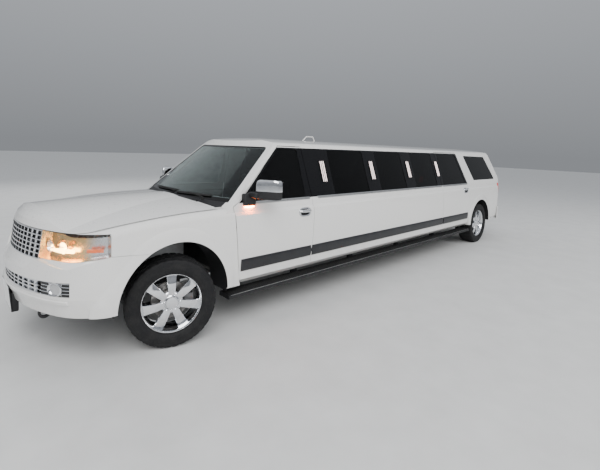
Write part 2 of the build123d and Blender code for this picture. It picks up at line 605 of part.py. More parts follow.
def lamp_region(grow=0):
    z1 = HOOD_LIP_Z - PANEL_GAP + grow
    return block(LAMP_REAR_X - grow, AHEAD, -1, BESIDE, GRILLE_Z0 - 25, z1)


def headlight():
    body = front_envelope() - front_envelope(LAMP_DEPTH, LAMP_DEPTH)
    return (body & lamp_region()) - below_split(SEAT) - block(0, AHEAD, -1, LAMP_INNER_Y, 0, ABOVE)


def grille():
    """An egg-crate grille between the headlights, bowed with the face."""
    face = front_envelope() - front_envelope(GRILLE_DEPTH, GRILLE_DEPTH)
    z0, z1, y1 = GRILLE_Z0, HOOD_LIP_Z - PANEL_GAP, LAMP_INNER_Y - SEAT
    face = face & block(X_FRONT, AHEAD, -1, y1, z0, z1)
    return face - crate_holes(y1 - GRILLE_BAR, z0 + GRILLE_BAR, z1 - GRILLE_BAR, GRILLE_ROWS, GRILLE_COLUMNS)


def crate_holes(y1, z0, z1, rows, columns):
    """The openings between the bars of an egg-crate mesh, from the middle out to y1."""
    holes = block(X_FRONT, AHEAD, 0, y1, z0, z1)
    for i in range(1, rows):
        z = z0 + i * (z1 - z0) / rows
        holes -= block(X_FRONT, AHEAD, -GRILLE_BAR, y1, z - GRILLE_BAR / 2, z + GRILLE_BAR / 2)
    for i in range(columns + 1):
        y = i * y1 / columns
        holes -= block(X_FRONT, AHEAD, y - GRILLE_BAR / 2, y + GRILLE_BAR / 2, z0, z1)
    return holes


def front_prism(outline, grow=0):
    """An outline of (y, z) points, carried along the front end."""
    face = make_face(Polyline(*outline, close=True).edges())
    if grow:
        face = offset(face, grow, kind=Kind.INTERSECTION)
    return cross_prism(face, X_FRONT, AHEAD)


def bumper_face(inset):
    """Everything inside the bumper's outer face: upright, with a chin and shelves that lean back."""
    top = SPLIT_LINE[2][1]
    chin = end_block(NOSE_PLAN, BUMPER_BOTTOM_Z, top, inset, -CHIN_LEAN, INTAKE[0][1])
    face = end_block(NOSE_PLAN, BUMPER_BOTTOM_Z - inset, top, inset) & chin
    for level, lean, outline in BUMPER_NOTCHES:
        shelf = end_block(NOSE_PLAN, level, top, inset, lean, level)
        face -= both_sides(front_prism(outline)) - shelf
    return face


def front_bumper():
    shell = bumper_face(0) - bumper_face(BUMPER_WALL)
    shell -= front_prism(INTAKE)
    shell -= block(X_FRONT, AHEAD, -1, LAMP_INNER_Y, GRILLE_Z0 - SEAT, ABOVE)
    ledge = bumper_face(BUMPER_WALL - 5) - bumper_face(LEDGE_REACH)
    shell += ledge & block(X_FRONT, X_NOSE, 0, LAMP_INNER_Y, GRILLE_Z0 - LEDGE_THICK, GRILLE_Z0 - SEAT)
    shell += flare(FRONT_ARCH) - bumper_face(BUMPER_WALL)
    shell = shell & below_split() & block(FRONT_ARCH[0], AHEAD, -1, BESIDE, BUMPER_BOTTOM_Z, ABOVE)
    return shell - arch_cut(FRONT_ARCH) - plate_hole(FRONT_PLATE_Z, X_NOSE - 100, X_NOSE)


def plate_hole(z, x0, x1):
    return rod_x(PLATE_SPACING / 2, z, x0, x1, PLATE_HOLE)


def lower_grille():
    """The mesh of the lower intake and the round fog lamp in it."""
    face = bumper_face(INTAKE_INSET) - bumper_face(INTAKE_INSET + GRILLE_DEPTH)
    face = face & front_prism(INTAKE, -SEAT)
    mesh = face - crate_holes(MESH_Y, *MESH_Z, MESH_ROWS, MESH_COLUMNS)
    mesh -= rod_x(FOG_Y, FOG_Z, X_FRONT, AHEAD, FOG_RADIUS)
    lamp = bumper_face(FOG_INSET) - bumper_face(FOG_INSET + GRILLE_DEPTH)
    return mesh, lamp & rod_x(FOG_Y, FOG_Z, X_FRONT, AHEAD, FOG_RADIUS - SEAT)


# Chassis and running gear

def chassis_frame():
    """A ladder frame with cross tubes, body outriggers, a front subframe and two tow hooks."""
    rail = block(X_TAIL + 164, X_NOSE - 200, *RAIL_Y, *RAIL_Z)
    frame = both_sides(rail)
    reach = sqrt((DIFF_RADIUS + CROSS_RADIUS + SEAT) ** 2 - (CROSS_Z - WHEEL_Z) ** 2)
    for x in CROSS_X + [X_REAR - reach, X_REAR + reach]:
        frame += rod_y(x, CROSS_Z, -RAIL_Y[0] - 5, RAIL_Y[0] + 5, CROSS_RADIUS)
    for x in CROSS_X[1:7]:
        frame += both_sides(block(x - 30, x + 30, RAIL_Y[1] - 5, OUTRIGGER_Y, OUTRIGGER_Z, RAIL_Z[1]))
    for x in (X_FRONT - 230, X_FRONT + 230):
        frame += block(x - 35, x + 35, -ARM_FOOT_Y + SEAT, ARM_FOOT_Y - SEAT, 240, 300)
        frame += both_sides(block(x - 35, x + 35, 430, 480, 290, 445))
    ring = Rot(90, 0, 0) * (Cylinder(48, 22) - Cylinder(28, 30))
    hook = Pos(X_NOSE - 210, sum(RAIL_Y) / 2, RAIL_Z[0] - 38) * ring
    frame += both_sides(hook & block(X_FRONT, AHEAD, 0, BESIDE, 0, RAIL_Z[0] + 6))
    horn = block(X_NOSE - 240, X_NOSE, RAIL_Y[0] + 10, RAIL_Y[1] - 10, BUMPER_BOTTOM_Z + 5, RAIL_Z[1])
    return frame + both_sides(horn & bumper_face(BUMPER_WALL + SEAT))


def floor_pan():
    inner = cabin_envelope(DOOR_WALL + 4, FRAME_WALL, ROOF_WALL, 60, END_WALL + 4)
    pan = inner & block(X_TAIL + 174, FIREWALL_X[1], -BESIDE, BESIDE, *FLOOR_Z)
    pan -= both_sides(block(X_REAR - 500, X_REAR + 500, REAR_WELL_Y - 2, BESIDE, 0, 600))
    for outline in (FRONT_DOOR, REAR_DOOR):
        pan -= both_sides(hinge_frame(outline) * rod_z(0, 0, 0, 120, HINGE_POCKET - 8))
    return pan


def wheel_liner(arch, inside, inner):
    """Half-round lining over a wheel, cut to the inside of the panel that carries it."""
    x, z, radius = arch
    shell = arch_cut(arch, 10) - arch_cut(arch, 4)
    return shell & block(x - 2 * radius, x + 2 * radius, inner, BESIDE, z - 40, ABOVE) & inside


def wheel_liners():
    inside = cabin_envelope(DOOR_WALL + SEAT, FRAME_WALL + SEAT, ROOF_WALL, 60, END_WALL)
    rear = wheel_liner(REAR_ARCH, inside, REAR_WELL_Y)
    end_wall = block(X_REAR - 600, X_REAR + 600, REAR_WELL_Y - 6, REAR_WELL_Y, 560, ABOVE)
    rear += arch_cut(REAR_ARCH, 10) & end_wall
    front = wheel_liner(FRONT_ARCH, front_envelope(FRONT_WALL + SEAT, FACE_INSET), FRONT_WELL_Y)
    front -= block(X_FRONT, X_NOSE, WIDE_Y - BUMPER_WALL - 8, BESIDE, 0, SPLIT_LINE[2][1] + 3)
    return both_sides(rear + front)


def wheel(x):
    """A broad-spoked rim with its brake disc, and the tyre round it; left side."""
    y0, y1 = TRACK / 2 - TYRE_WIDTH / 2 + WHEEL_DROP, TRACK / 2 + TYRE_WIDTH / 2 - WHEEL_DROP
    seat, well, lip = RIM_RADIUS - 12, RIM_RADIUS - 30, RIM_RADIUS + 6
    bead = RIM_RADIUS - 4
    profile = make_face(Polyline((well - 8, y0 + 40), (seat - 8, y0 + 4), (seat - 8, y0), (lip, y0),
                                 (lip, y0 + 8), (bead, y0 + 12), (bead, y0 + 40), (well, y0 + 60),
                                 (well, y1 - 60), (bead, y1 - 40), (bead, y1 - 12), (lip, y1 - 8),
                                 (lip, y1), (seat - 8, y1), (well - 8, y1 - 46), close=True).edges())
    axis = Axis((0, 0, 0), (0, 1, 0))
    rim = revolve(profile, axis=axis)
    face_y = y1 - FACE_DROP
    rim += rod_y(0, 0, face_y - HAT_DEPTH, face_y, HUB_RADIUS)
    spoke = plan_prism([(30, -31), (seat, -46), (seat, 46), (30, 31)], face_y - 30, face_y)
    spoke = Rot(-90, 0, 0) * spoke
    for i in range(SPOKES):
        rim += Rot(0, i * 360 / SPOKES, 0) * spoke
    hat_y, disc_y = face_y - HAT_DEPTH, face_y - HAT_DEPTH - DISC_WIDTH
    rim += rod_y(0, 0, disc_y, hat_y, 96) + rod_y(0, 0, disc_y, hat_y - 14, DISC_RADIUS)
    rim -= rod_y(0, 0, disc_y - 20, face_y - 20, SPINDLE + SEAT)
    tyre_bead = bead + SEAT
    section = TYRE_WIDTH / 2
    mid = TRACK / 2
    outer = TYRE_DIAMETER / 2
    step = TYRE_WALL / 72
    foot, shoulder, inside = RIM_RADIUS + 20 * step, outer - 12 * step, outer - 8 * step
    inner_foot = RIM_RADIUS + 15 * step
    outline = FilletPolyline((tyre_bead, mid - section + 40), (foot, mid - section),
                             (shoulder, mid - section + 12), (outer, mid - section + 44),
                             (outer, mid + section - 44), (shoulder, mid + section - 12),
                             (foot, mid + section), (tyre_bead, mid + section - 40),
                             (tyre_bead, mid + section - 62), (inner_foot, mid + section - 40),
                             (inside, mid + section - 60), (inside, mid - section + 60),
                             (inner_foot, mid - section + 40), (tyre_bead, mid - section + 62),
                             radius=[r * step for r in TYRE_ROUNDS], close=True)
    tyre = revolve(make_face(outline.edges()), axis=axis)
    place = Pos(x, 0, WHEEL_Z)
    return place * rim, place * tyre


# Radii at the corners of the tyre's section, in 72nds of the height of its wall
TYRE_ROUNDS = [0, 15, 10, 10, 10, 10, 15, 0, 0, 0, 0, 0, 0, 0]


def knuckle():
    """Left front knuckle: kingpin, spindle and caliper, inside the rim."""
    y0 = DISC_Y
    body = rod_z(X_FRONT, KINGPIN_Y, 240, 572, KINGPIN_RADIUS) + rod_z(X_FRONT, KINGPIN_Y, 272, 540, 30)
    body += block(X_FRONT - 40, X_FRONT + 40, KINGPIN_Y - 25, y0 - 14, WHEEL_Z - 60, WHEEL_Z + 60)
    body += rod_y(X_FRONT, WHEEL_Z, KINGPIN_Y, y0 + 66, SPINDLE)
    return body + caliper(X_FRONT, y0)


def steered(part, side=1):
    """A front part turned about its kingpin, as the wheels stand; side is -1 on the right."""
    pivot = Pos(X_FRONT, side * KINGPIN_Y, 0)
    return pivot * Rot(0, 0, STEER_ANGLE) * pivot.inverse() * part


def caliper(x, y0):
    arm = block(x - 190, x - 60, y0 - 50, y0 - 24, WHEEL_Z - 30, WHEEL_Z + 50)
    arm += block(x - 70, x, y0 - 50, y0 - 14, WHEEL_Z - 30, WHEEL_Z + 50)
    over = block(x - 200, x - 177, y0 - 50, y0 + 54, WHEEL_Z - 30, WHEEL_Z + 50)
    return arm + over + block(x - 200, x - 120, y0 + 32, y0 + 54, WHEEL_Z - 30, WHEEL_Z + 50)


def front_suspension():
    """Wishbones between the frame and the kingpin, left side."""
    lower = wishbone(36, KINGPIN_Y + 30, 60, 200, ARM_FOOT_Y, 242, 268)
    upper = wishbone(30, KINGPIN_Y + 26, 50, 130, 502, 546, UPPER_ARM_TOP)
    upper += block(X_FRONT - 130, X_FRONT + 130, 480, 506, RAIL_Z[1], UPPER_ARM_TOP)
    return lower + upper - rod_z(X_FRONT, KINGPIN_Y, 200, 600, KINGPIN_RADIUS + SEAT)


def wishbone(tip_half, tip_y, waist_half, foot_half, foot_y, z0, z1):
    """A flat arm that widens from its tip at the kingpin to its two feet on the frame."""
    ahead = [(tip_half, tip_y), (waist_half, ARM_WAIST_Y), (foot_half, foot_y)]
    outline = [(X_FRONT + x, y) for x, y in ahead] + [(X_FRONT - x, y) for x, y in reversed(ahead)]
    return plan_prism(outline, z0, z1)


def rear_suspension():
    """Half shafts, wheel carriers and lower arms, left side, and the differential."""
    y0 = DISC_Y
    half = rod_y(X_REAR, WHEEL_Z, 100, y0 - 30, 22) + rod_y(X_REAR, WHEEL_Z, y0 - 60, y0 + 66, SPINDLE)
    half += block(X_REAR - 50, X_REAR + 50, y0 - 70, y0 - 14, WHEEL_Z - 90, WHEEL_Z + 90)
    half += block(X_REAR - 60, X_REAR - 10, 480, y0 - 30, WHEEL_Z - 90, WHEEL_Z - 62)
    half += block(X_REAR - 60, X_REAR - 10, 440, 490, WHEEL_Z - 90, RAIL_Z[0] - SEAT)
    half += caliper(X_REAR, y0)
    return half


def differential():
    body = rod_y(X_REAR, WHEEL_Z, -100 + SEAT, 100 - SEAT, DIFF_RADIUS)
    return body + rod_x(0, WHEEL_Z, X_REAR + 60, X_REAR + 180, 34)


def driveshaft():
    """A long shaft with centre bearings, from the gearbox to the differential."""
    x0, x1 = X_REAR + 180 + SEAT, GEARBOX_X
    shaft = rod_x(0, WHEEL_Z, x0, x1, 32)
    for x in CROSS_X[3:5]:
        shaft += block(x - 20, x + 20, -60, 60, WHEEL_Z - 50, CROSS_UNDER)
    return shaft


def engine_block():
    engine = block(X_FRONT - 395, X_FRONT + 415, -300, 300, 330, 960)
    engine += block(GEARBOX_X + SEAT, X_FRONT - 395, -190, 190, 290, CROSS_UNDER)
    z0 = RAIL_Z[0] + 6
    engine += both_sides(block(X_FRONT - 35, X_FRONT + 65, 290, RAIL_Y[0] - SEAT, z0, z0 + 60))
    radiator = block(X_NOSE - 470, X_NOSE - 410, -400, 400, RAIL_Z[1] - 66, 1040)
    radiator -= rod_y(CROSS_X[0], CROSS_Z, -500, 500, CROSS_RADIUS + SEAT)
    return engine, radiator


def exhaust_system():
    """Two silencers on a long pipe, hung from the frame's cross tubes on the right."""
    pipe = rod_x(-330, 340, X_REAR - 593, X_FRONT - 525, 28)
    for x in (CROSS_X[3] + 300, CROSS_X[5] + 500):
        pipe += rod_x(-310, 345, x - 350, x + 350, 62)
    for x in CROSS_X[2:7]:
        pipe += block(x - 12, x + 12, -340, -320, 350, CROSS_UNDER)
    return pipe


def fuel_tank():
    tank = block(CROSS_X[6] - 40, CROSS_X[6] + 1140, 75, RAIL_Y[0] - 5, 262, CROSS_UNDER)
    return fillet(tank.edges().filter_by(Axis.X), 40)


def running_board():
    x0, x1 = X_REAR + REAR_ARCH[2] + 90, FRONT_ARCH[0] - FRONT_ARCH[2] - 15
    board = block(x0, x1, OUTRIGGER_Y, HALF + 27, *BOARD_Z)
    board = fillet(board.edges().filter_by(Axis.X).group_by(Axis.Y)[-1], 16)
    for x in CROSS_X[1:7]:
        board += block(x - 30, x + 30, OUTRIGGER_Y - 50, OUTRIGGER_Y + 10, BOARD_Z[0] + 12, OUTRIGGER_Z)
    return both_sides(board)


def rear_bumper():
    outer = end_block(TAIL_PLAN, *REAR_BUMPER_Z)
    inner = end_block(TAIL_PLAN, 0, ABOVE, 50)
    shell = (outer - inner) & block(BEHIND, X_REAR - REAR_ARCH[2] - 80, -BESIDE, BESIDE, 0, ABOVE)
    shell -= end_block(REAR_PLAN, 0, ABOVE, -SEAT)
    rear_wall = cabin_envelope() - cabin_envelope(DOOR_WALL, FRAME_WALL, ROOF_WALL, 60, END_WALL)
    top = GATE_BOTTOM - PANEL_GAP
    rear_wall = rear_wall & block(X_TAIL, X_TAIL + 200, -ROOF_SPLIT_Y, ROOF_SPLIT_Y, SILL_Z, top)
    z0, z1 = REAR_BUMPER_Z
    tie = block(X_TAIL + 20, X_TAIL + 90, 401 - HALF, HALF - 401, z0 + 40, z1 - 100)
    return shell + rear_wall + (tie & end_block(TAIL_PLAN, *REAR_BUMPER_Z, 10))


# Cabin furniture

def firewall():
    inner = cabin_envelope(DOOR_WALL + 2, FRAME_WALL + 2, ROOF_WALL, 0, END_WALL + 2)
    wall = inner & block(*FIREWALL_X, -BESIDE, BESIDE, FLOOR_Z[1], CREASE_Z + 1)
    return wall & front_envelope(COWL_LAYER[1] + SEAT)


def hood_hinge_ears():
    x, z = HOOD_HINGE
    ears = block(x - 12, x + 12, -16, 16, z - 40, z + 9)
    slot = block(x - 20, x + 100, -8, 8, z - 14, z + 50)
    return [both_sides(Pos(0, HOOD_HINGE_Y, 0) * part) for part in (ears, slot, rod_y(x, z, -16, 16, 5))]


def hood_lug():
    x, z = HOOD_HINGE
    lug = rod_y(x, z, -5, 5, 9) + block(x, x + 80, -5, 5, z - 7, z + 15)
    return both_sides(Pos(0, HOOD_HINGE_Y, 0) * (lug - rod_y(x, z, -20, 20, 5 + SEAT)))


def cowl_panel(shell):
    """The trough under the windshield with the bar that carries the glass."""
    low, high = COWL_LAYER
    panel = front_envelope(low) - front_envelope(high)
    panel = panel & block(FIREWALL_X[0], FIREWALL_X[0] + 238, -COWL_HALF, COWL_HALF, 1000, ABOVE)
    reach = COWL_HALF - SEAT
    bar = shell & block(FRONT_DOOR[0][0] - 25, AHEAD, -reach, reach, 1200, SHIELD_FOOT[1])
    ears, slots, pins = hood_hinge_ears()
    return panel + bar + ears - slots + pins


def dashboard():
    front = FIREWALL_X[0] - SEAT
    back = FIREWALL_X[0] - 312
    outline = [(back, 700), (back - 60, 1000), (back - 20, 1110), (back + 260, 1160), (front, 1150),
               (front, 700)]
    dash = side_prism(outline, 211 - HALF, HALF - 211, radius=[20, 40, 60, 20, 5, 5])
    return dash - COLUMN * (Pos(0, 0, -200) * Cylinder(15 + SEAT, 400))


def seat(x, y, width=520, back=1250):
    """Seat with a reclined back; the front edge is ahead."""
    cushion = [(x, 700), (x, 850), (x - 480, 820), (x - 560, back), (x - 690, back), (x - 600, 700)]
    return side_prism(cushion, y - width / 2, y + width / 2, radius=30)


def front_seats():
    seats = seat(DRIVER_X, DRIVER_Y) + seat(DRIVER_X, -DRIVER_Y)
    for y in (DRIVER_Y, -DRIVER_Y):
        seats += block(DRIVER_X - 520, DRIVER_X - 80, y - 200, y + 200, FLOOR_Z[1], 700)
        seats += block(DRIVER_X - 640, DRIVER_X - 540, y - 130, y + 130, 1262, 1440)
        seats += block(DRIVER_X - 620, DRIVER_X - 590, y - 40, y + 40, 1240, 1280)
    return seats


def partition():
    inner = cabin_envelope(DOOR_WALL + 1, FRAME_WALL + 1, ROOF_WALL + 1, 0, END_WALL)
    return inner & block(*PARTITION_X, -BESIDE, BESIDE, FLOOR_Z[1], ABOVE)


def lounge_seat():
    """Benches along the right side and across the rear."""
    x0, x1, y0 = X_REAR + 1777, PARTITION_X[0] - 160, 111 - HALF
    side = block(x0, x1, y0, y0 + 460, FLOOR_Z[1], 900) + block(x0, x1, y0, y0 + 110, 900, 1230)
    x0, y1 = LOUNGE_REAR_X, HALF - 181
    rear = block(x0, x0 + 520, -y1, y1, FLOOR_Z[1], 900) + block(x0, x0 + 130, -y1, y1, 900, 1300)
    return [side, rear]


def bar_cabinet():
    return block(X_REAR + 2157, PARTITION_X[0] - 360, HALF - 361, HALF - 111, FLOOR_Z[1], 1160)


def steering_wheel():
    """A rim with four spokes on its shaft, leaning to the driver."""
    ring = Torus(182, 16)
    spokes = Box(340, 34, 14) + Box(34, 340, 14) + Cylinder(52, 40)
    shaft = Pos(0, 0, -190) * Cylinder(15, 380)
    return COLUMN * (ring + spokes + shaft)


def mirror_unit():
    """Left door mirror: a swept shell on an arm that stands on the door below the belt."""
    shell = plan_prism(MIRROR_PLAN, *MIRROR_Z)
    shell = fillet(shell.edges(), MIRROR_ROUND)
    arm = block(MIRROR_X - 100, MIRROR_X, WELL_IN, HALF + 69, MIRROR_Z[0] + 6, MIRROR_Z[0] + 76)
    foot = block(MIRROR_X - 85, MIRROR_X + 55, WELL_IN, HALF - 16, MIRROR_Z[0] - 88, MIRROR_Z[0] + 60)
    return shell + ((arm + foot) - cabin_envelope())


def opera_lights():
    """Slim lights on the pillars between the side windows."""
    skin = cabin_envelope(0, -12, 0) - cabin_envelope()
    return [skin & block(x - OPERA_HALF, x + OPERA_HALF, 0, BESIDE, *OPERA_Z) for x in OPERA_X]


def tail_lamp_block(grow=0):
    x, y, z0, z1 = TAIL_LAMP
    return block(X_TAIL, x + grow, y - grow, BESIDE, z0 - grow, z1 + grow)


def gate_hinge_line():
    """The hinge line of the liftgate: just under the skin, below the gate's top edge."""
    z = GATE_TOP - 5
    slope = (TAIL_HEAD[0] - TAIL_FOOT[0]) / (TAIL_HEAD[1] - TAIL_FOOT[1])
    return TAIL_FOOT[0] + (z - TAIL_FOOT[1]) * slope + 8, z


def gate_knuckles(gate, roof):
    """Barrels on the gate between ears on the roof, with a pin through them."""
    x, z = gate_hinge_line()
    for y in (-260, 260):
        gate -= rod_y(x, z, y - 26, y + 26, 13)
        barrel = rod_y(x, z, y - 8, y + 8, 9) + block(x - 4, x + 14, y - 8, y + 8, z - 30, z)
        gate += barrel - rod_y(x, z, y - 30, y + 30, 4 + SEAT)
        for side in (-1, 1):
            y0 = y + side * 17
            roof += rod_y(x, z, y0 - 7, y0 + 7, 9) + block(x - 4, x + 10, y0 - 7, y0 + 7, z, z + 24)
        roof += rod_y(x, z, y - 20, y + 20, 4)
    return gate, roof


def wiper(y0, y1):
    """A blade and arm that lie on the windshield, a little higher at the left end."""
    z0, z1 = SHIELD_FOOT[1] + 23, SHIELD_FOOT[1] + 38
    blade = bowed_end(SHIELD_FOOT, SHIELD_HEAD, SHIELD_RADIUS, GLASS_DEPTH - 14)
    blade -= bowed_end(SHIELD_FOOT, SHIELD_HEAD, SHIELD_RADIUS, GLASS_DEPTH - SEAT)
    strip = make_face(Polyline((y0, z0), (y1, z1), (y1, z1 + 16), (y0, z0 + 16), close=True).edges())
    return blade & cross_prism(strip, COWL_X - 170, AHEAD)


def roof_aerial():
    """A low hoop of tube that stands on the roof."""
    x0, x1 = AERIAL_X
    foot, top = HEIGHT - 5, HEIGHT + AERIAL_RISE
    path = FilletPolyline((x1, 0, foot), (x1 - 90, 0, top), (x0 + 40, 0, top), (x0, 0, foot), radius=25)
    tube = sweep(Plane(origin=path @ 0, z_dir=path % 0) * Circle(AERIAL_TUBE), path=path)
    return tube - cabin_envelope(top=-SEAT)


def main():
    os.makedirs("parts", exist_ok=True)
    shell = cabin_envelope() - cabin_envelope(DOOR_WALL, FRAME_WALL, ROOF_WALL, 60, END_WALL)
    front_door, rear_door, middle, quarter = doors_and_sides(shell)
    front_door, rear_door = cut_hinges(front_door, FRONT_DOOR), cut_hinges(rear_door, REAR_DOOR)
    middle = add_hinges(add_hinges(middle, FRONT_DOOR), REAR_DOOR)
    side_panes, front_pane, rear_pane, shield, gate_pane = glass_panes()
    roof = shell & block(BEHIND, AHEAD, -ROOF_SPLIT_Y, ROOF_SPLIT_Y, HEIGHT - 245, ABOVE)
    roof = roof - gate_tube(PANEL_GAP) - windshield_tube()
    roof -= both_sides(front_door_region(DOOR_GAP) + rear_door_region(DOOR_GAP))
    gate = (shell & gate_tube()) - gate_window() - both_sides(plate_hole(REAR_PLATE_Z, X_TAIL, TAIL_INNER_X))
    gate, roof = gate_knuckles(gate, roof)
    hood, fender = front_panels()
    hood += hood_lug()
    lamp = tail_lamp_block() & quarter
    quarter -= tail_lamp_block(SEAT)
    front_rim, front_tyre = wheel(X_FRONT)
    rear_rim, rear_tyre = wheel(X_REAR)
    intake, fog = lower_grille()
    engine, radiator = engine_block()

    pairs = {
        "body_side": middle, "quarter_panel": quarter, "fender": fender, "front_door": front_door,
        "rear_door": rear_door, "front_door_glass": front_pane, "rear_door_glass": rear_pane,
        "mirror": mirror_unit(), "rear_rim": rear_rim, "rear_tyre": rear_tyre,
    }
    steered_pairs = {"knuckle": knuckle(), "front_rim": front_rim, "front_tyre": front_tyre}
    singles = {
        "chassis_frame": chassis_frame(), "floor_pan": floor_pan(), "roof": roof, "hood": hood,
        "firewall": firewall(), "cowl_panel": cowl_panel(shell), "windshield": shield,
        "side_glass": [p for pane in side_panes for p in (pane, other_side(pane))],
        "liftgate": gate, "liftgate_glass": gate_pane, "front_bumper": both_sides(front_bumper()),
        "grille": both_sides(grille()), "lower_grille": both_sides(intake),
        "headlights": [p for part in (headlight(), fog) for p in (part, other_side(part))],
        "taillights": [lamp, other_side(lamp)], "rear_bumper": rear_bumper(),
        "running_boards": running_board(),
        "opera_lights": [p for light in opera_lights() for p in (light, other_side(light))],
        "dashboard": dashboard(), "front_seats": front_seats(), "lounge_seat": lounge_seat(),
        "bar_cabinet": bar_cabinet(), "partition": partition(), "engine_block": [engine, radiator],
        "exhaust_system": exhaust_system(), "fuel_tank": fuel_tank(), "driveshaft": driveshaft(),
        "front_suspension": both_sides(front_suspension()),
        "rear_suspension": [rear_suspension(), other_side(rear_suspension()), differential()],
        "wheel_liners": wheel_liners(), "steering_wheel": steering_wheel(),
        "wipers": [wiper(y0, y0 + WIPER_LENGTH) for y0 in WIPER_Y],
        "roof_aerial": roof_aerial(),
    }
    for name, part in pairs.items():
        write(name + "_left", part)
        write(name + "_right", other_side(part))
    for name, part in steered_pairs.items():
        write(name + "_left", steered(part))
        write(name + "_right", steered(other_side(part), -1))
    for name, part in singles.items():
        write(name, part)


def write(name, part):
    """One file for each named piece, holding its separate solids."""
    parts = part if isinstance(part, list) else [part]
    solids = [solid for p in parts for solid in p.solids()]
    shape = solids[0] if len(solids) == 1 else Compound(solids)
    export_step(shape, f"parts/{name}.step")


main()
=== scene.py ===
import math

import bmesh
import bpy
from mathutils import Matrix, Vector
from mathutils.bvhtree import BVHTree


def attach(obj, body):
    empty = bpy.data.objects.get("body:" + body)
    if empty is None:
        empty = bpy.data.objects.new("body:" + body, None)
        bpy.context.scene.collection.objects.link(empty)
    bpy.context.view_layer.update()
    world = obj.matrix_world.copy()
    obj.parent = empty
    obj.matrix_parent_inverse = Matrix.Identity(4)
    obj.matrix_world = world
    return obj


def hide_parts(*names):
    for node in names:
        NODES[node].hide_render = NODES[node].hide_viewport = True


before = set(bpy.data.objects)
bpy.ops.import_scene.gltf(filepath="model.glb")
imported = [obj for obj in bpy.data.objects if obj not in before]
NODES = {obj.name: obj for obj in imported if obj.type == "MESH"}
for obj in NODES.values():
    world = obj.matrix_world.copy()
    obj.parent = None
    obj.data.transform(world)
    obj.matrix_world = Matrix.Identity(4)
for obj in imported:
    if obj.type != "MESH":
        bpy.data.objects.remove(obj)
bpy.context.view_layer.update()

# Sizes in metres, in the row frame: X forward, Y left, Z up
TYRE_R, TYRE_HALF = 0.406, 0.1375
FRONT_AXLE_X, REAR_AXLE_X = 3.512, -3.320

# Wheels: name, centre, and the turn that points the rim's face outwards as the car stands
WHEELS = [
    ("front_left", (3.53861, 0.84802, TYRE_R), -17), ("front_right", (3.48539, -0.84802, TYRE_R), 163),
    ("rear_left", (REAR_AXLE_X, 0.852, TYRE_R), 0), ("rear_right", (REAR_AXLE_X, -0.852, TYRE_R), 180),
]
SIDES = (("left", 1), ("right", -1))

# The black window band on the sides: heights, and its two ends as (x at the foot, x at the top)
BAND_Z = (1.258, 1.836)
BAND_FRONT = (2.862, 2.207)
BAND_REAR = (-2.728, -2.531)
# Heights between which the windshield has no black border
SHIELD_Z = (1.300, 1.812)


# Node helpers

class Shader:
    """A material under construction, with short calls for the usual nodes."""

    def __init__(self, name, color=(0.5, 0.5, 0.5), roughness=0.5, metallic=0.0, **values):
        self.material = bpy.data.materials.new(name)
        self.material.use_nodes = True
        self.tree = self.material.node_tree
        self.bsdf = self.tree.nodes["Principled BSDF"]
        self.bsdf.inputs["Base Color"].default_value = (*color, 1)
        self.bsdf.inputs["Roughness"].default_value = roughness
        self.bsdf.inputs["Metallic"].default_value = metallic
        for key, value in values.items():
            socket = self.bsdf.inputs[key.replace("_", " ")]
            socket.default_value = (*value, 1) if isinstance(value, tuple) else value
        self.place = self.add("ShaderNodeTexCoord").outputs["Object"]

    def add(self, kind, **settings):
        node = self.tree.nodes.new(kind)
        for key, value in settings.items():
            setattr(node, key, value)
        return node

    def put(self, socket, value):
        if isinstance(value, bpy.types.NodeSocket):
            self.tree.links.new(value, socket)
        elif isinstance(value, tuple) and len(socket.default_value) == 4:
            socket.default_value = (*value, 1)
        else:
            socket.default_value = value

    def calc(self, operation, a, b=0.0):
        node = self.add("ShaderNodeMath", operation=operation)
        self.put(node.inputs[0], a)
        self.put(node.inputs[1], b)
        return node.outputs[0]

    def axes(self):
        node = self.add("ShaderNodeSeparateXYZ")
        self.put(node.inputs[0], self.place)
        return node.outputs

    def noise(self, scale, detail=3.0, rough=0.55):
        node = self.add("ShaderNodeTexNoise")
        self.put(node.inputs["Vector"], self.place)
        node.inputs["Scale"].default_value = scale
        node.inputs["Detail"].default_value = detail
        node.inputs["Roughness"].default_value = rough
        return node.outputs["Fac"]

    def cells(self, scale, feature="F1"):
        node = self.add("ShaderNodeTexVoronoi", feature=feature)
        self.put(node.inputs["Vector"], self.place)
        node.inputs["Scale"].default_value = scale
        return node.outputs["Distance"]

    def spread(self, value, low, high, new_low=0.0, new_high=1.0):
        node = self.add("ShaderNodeMapRange")
        self.put(node.inputs["Value"], value)
        ends = {"From Min": low, "From Max": high, "To Min": new_low, "To Max": new_high}
        for key, number in ends.items():
            self.put(node.inputs[key], number)
        return node.outputs[0]

    def mix(self, share, a, b):
        node = self.add("ShaderNodeMix", data_type="RGBA")
        self.put(node.inputs["Factor"], share)
        self.put(node.inputs["A"], a)
        self.put(node.inputs["B"], b)
        return node.outputs["Result"]

    def color(self, value):
        self.put(self.bsdf.inputs["Base Color"], value)

    def rough(self, value):
        self.put(self.bsdf.inputs["Roughness"], value)

    def bump(self, height, strength=0.3, distance=0.001):
        node = self.add("ShaderNodeBump")
        node.inputs["Strength"].default_value = strength
        node.inputs["Distance"].default_value = distance
        self.put(node.inputs["Height"], height)
        self.put(self.bsdf.inputs["Normal"], node.outputs[0])

    def within(self, value, low, high, soft=0.0008):
        """1 where value lies between low and high, with a thin soft edge."""
        above = self.spread(self.calc("SUBTRACT", value, low), -soft, soft)
        below = self.spread(self.calc("SUBTRACT", high, value), -soft, soft)
        return self.calc("MULTIPLY", above, below)


# Materials

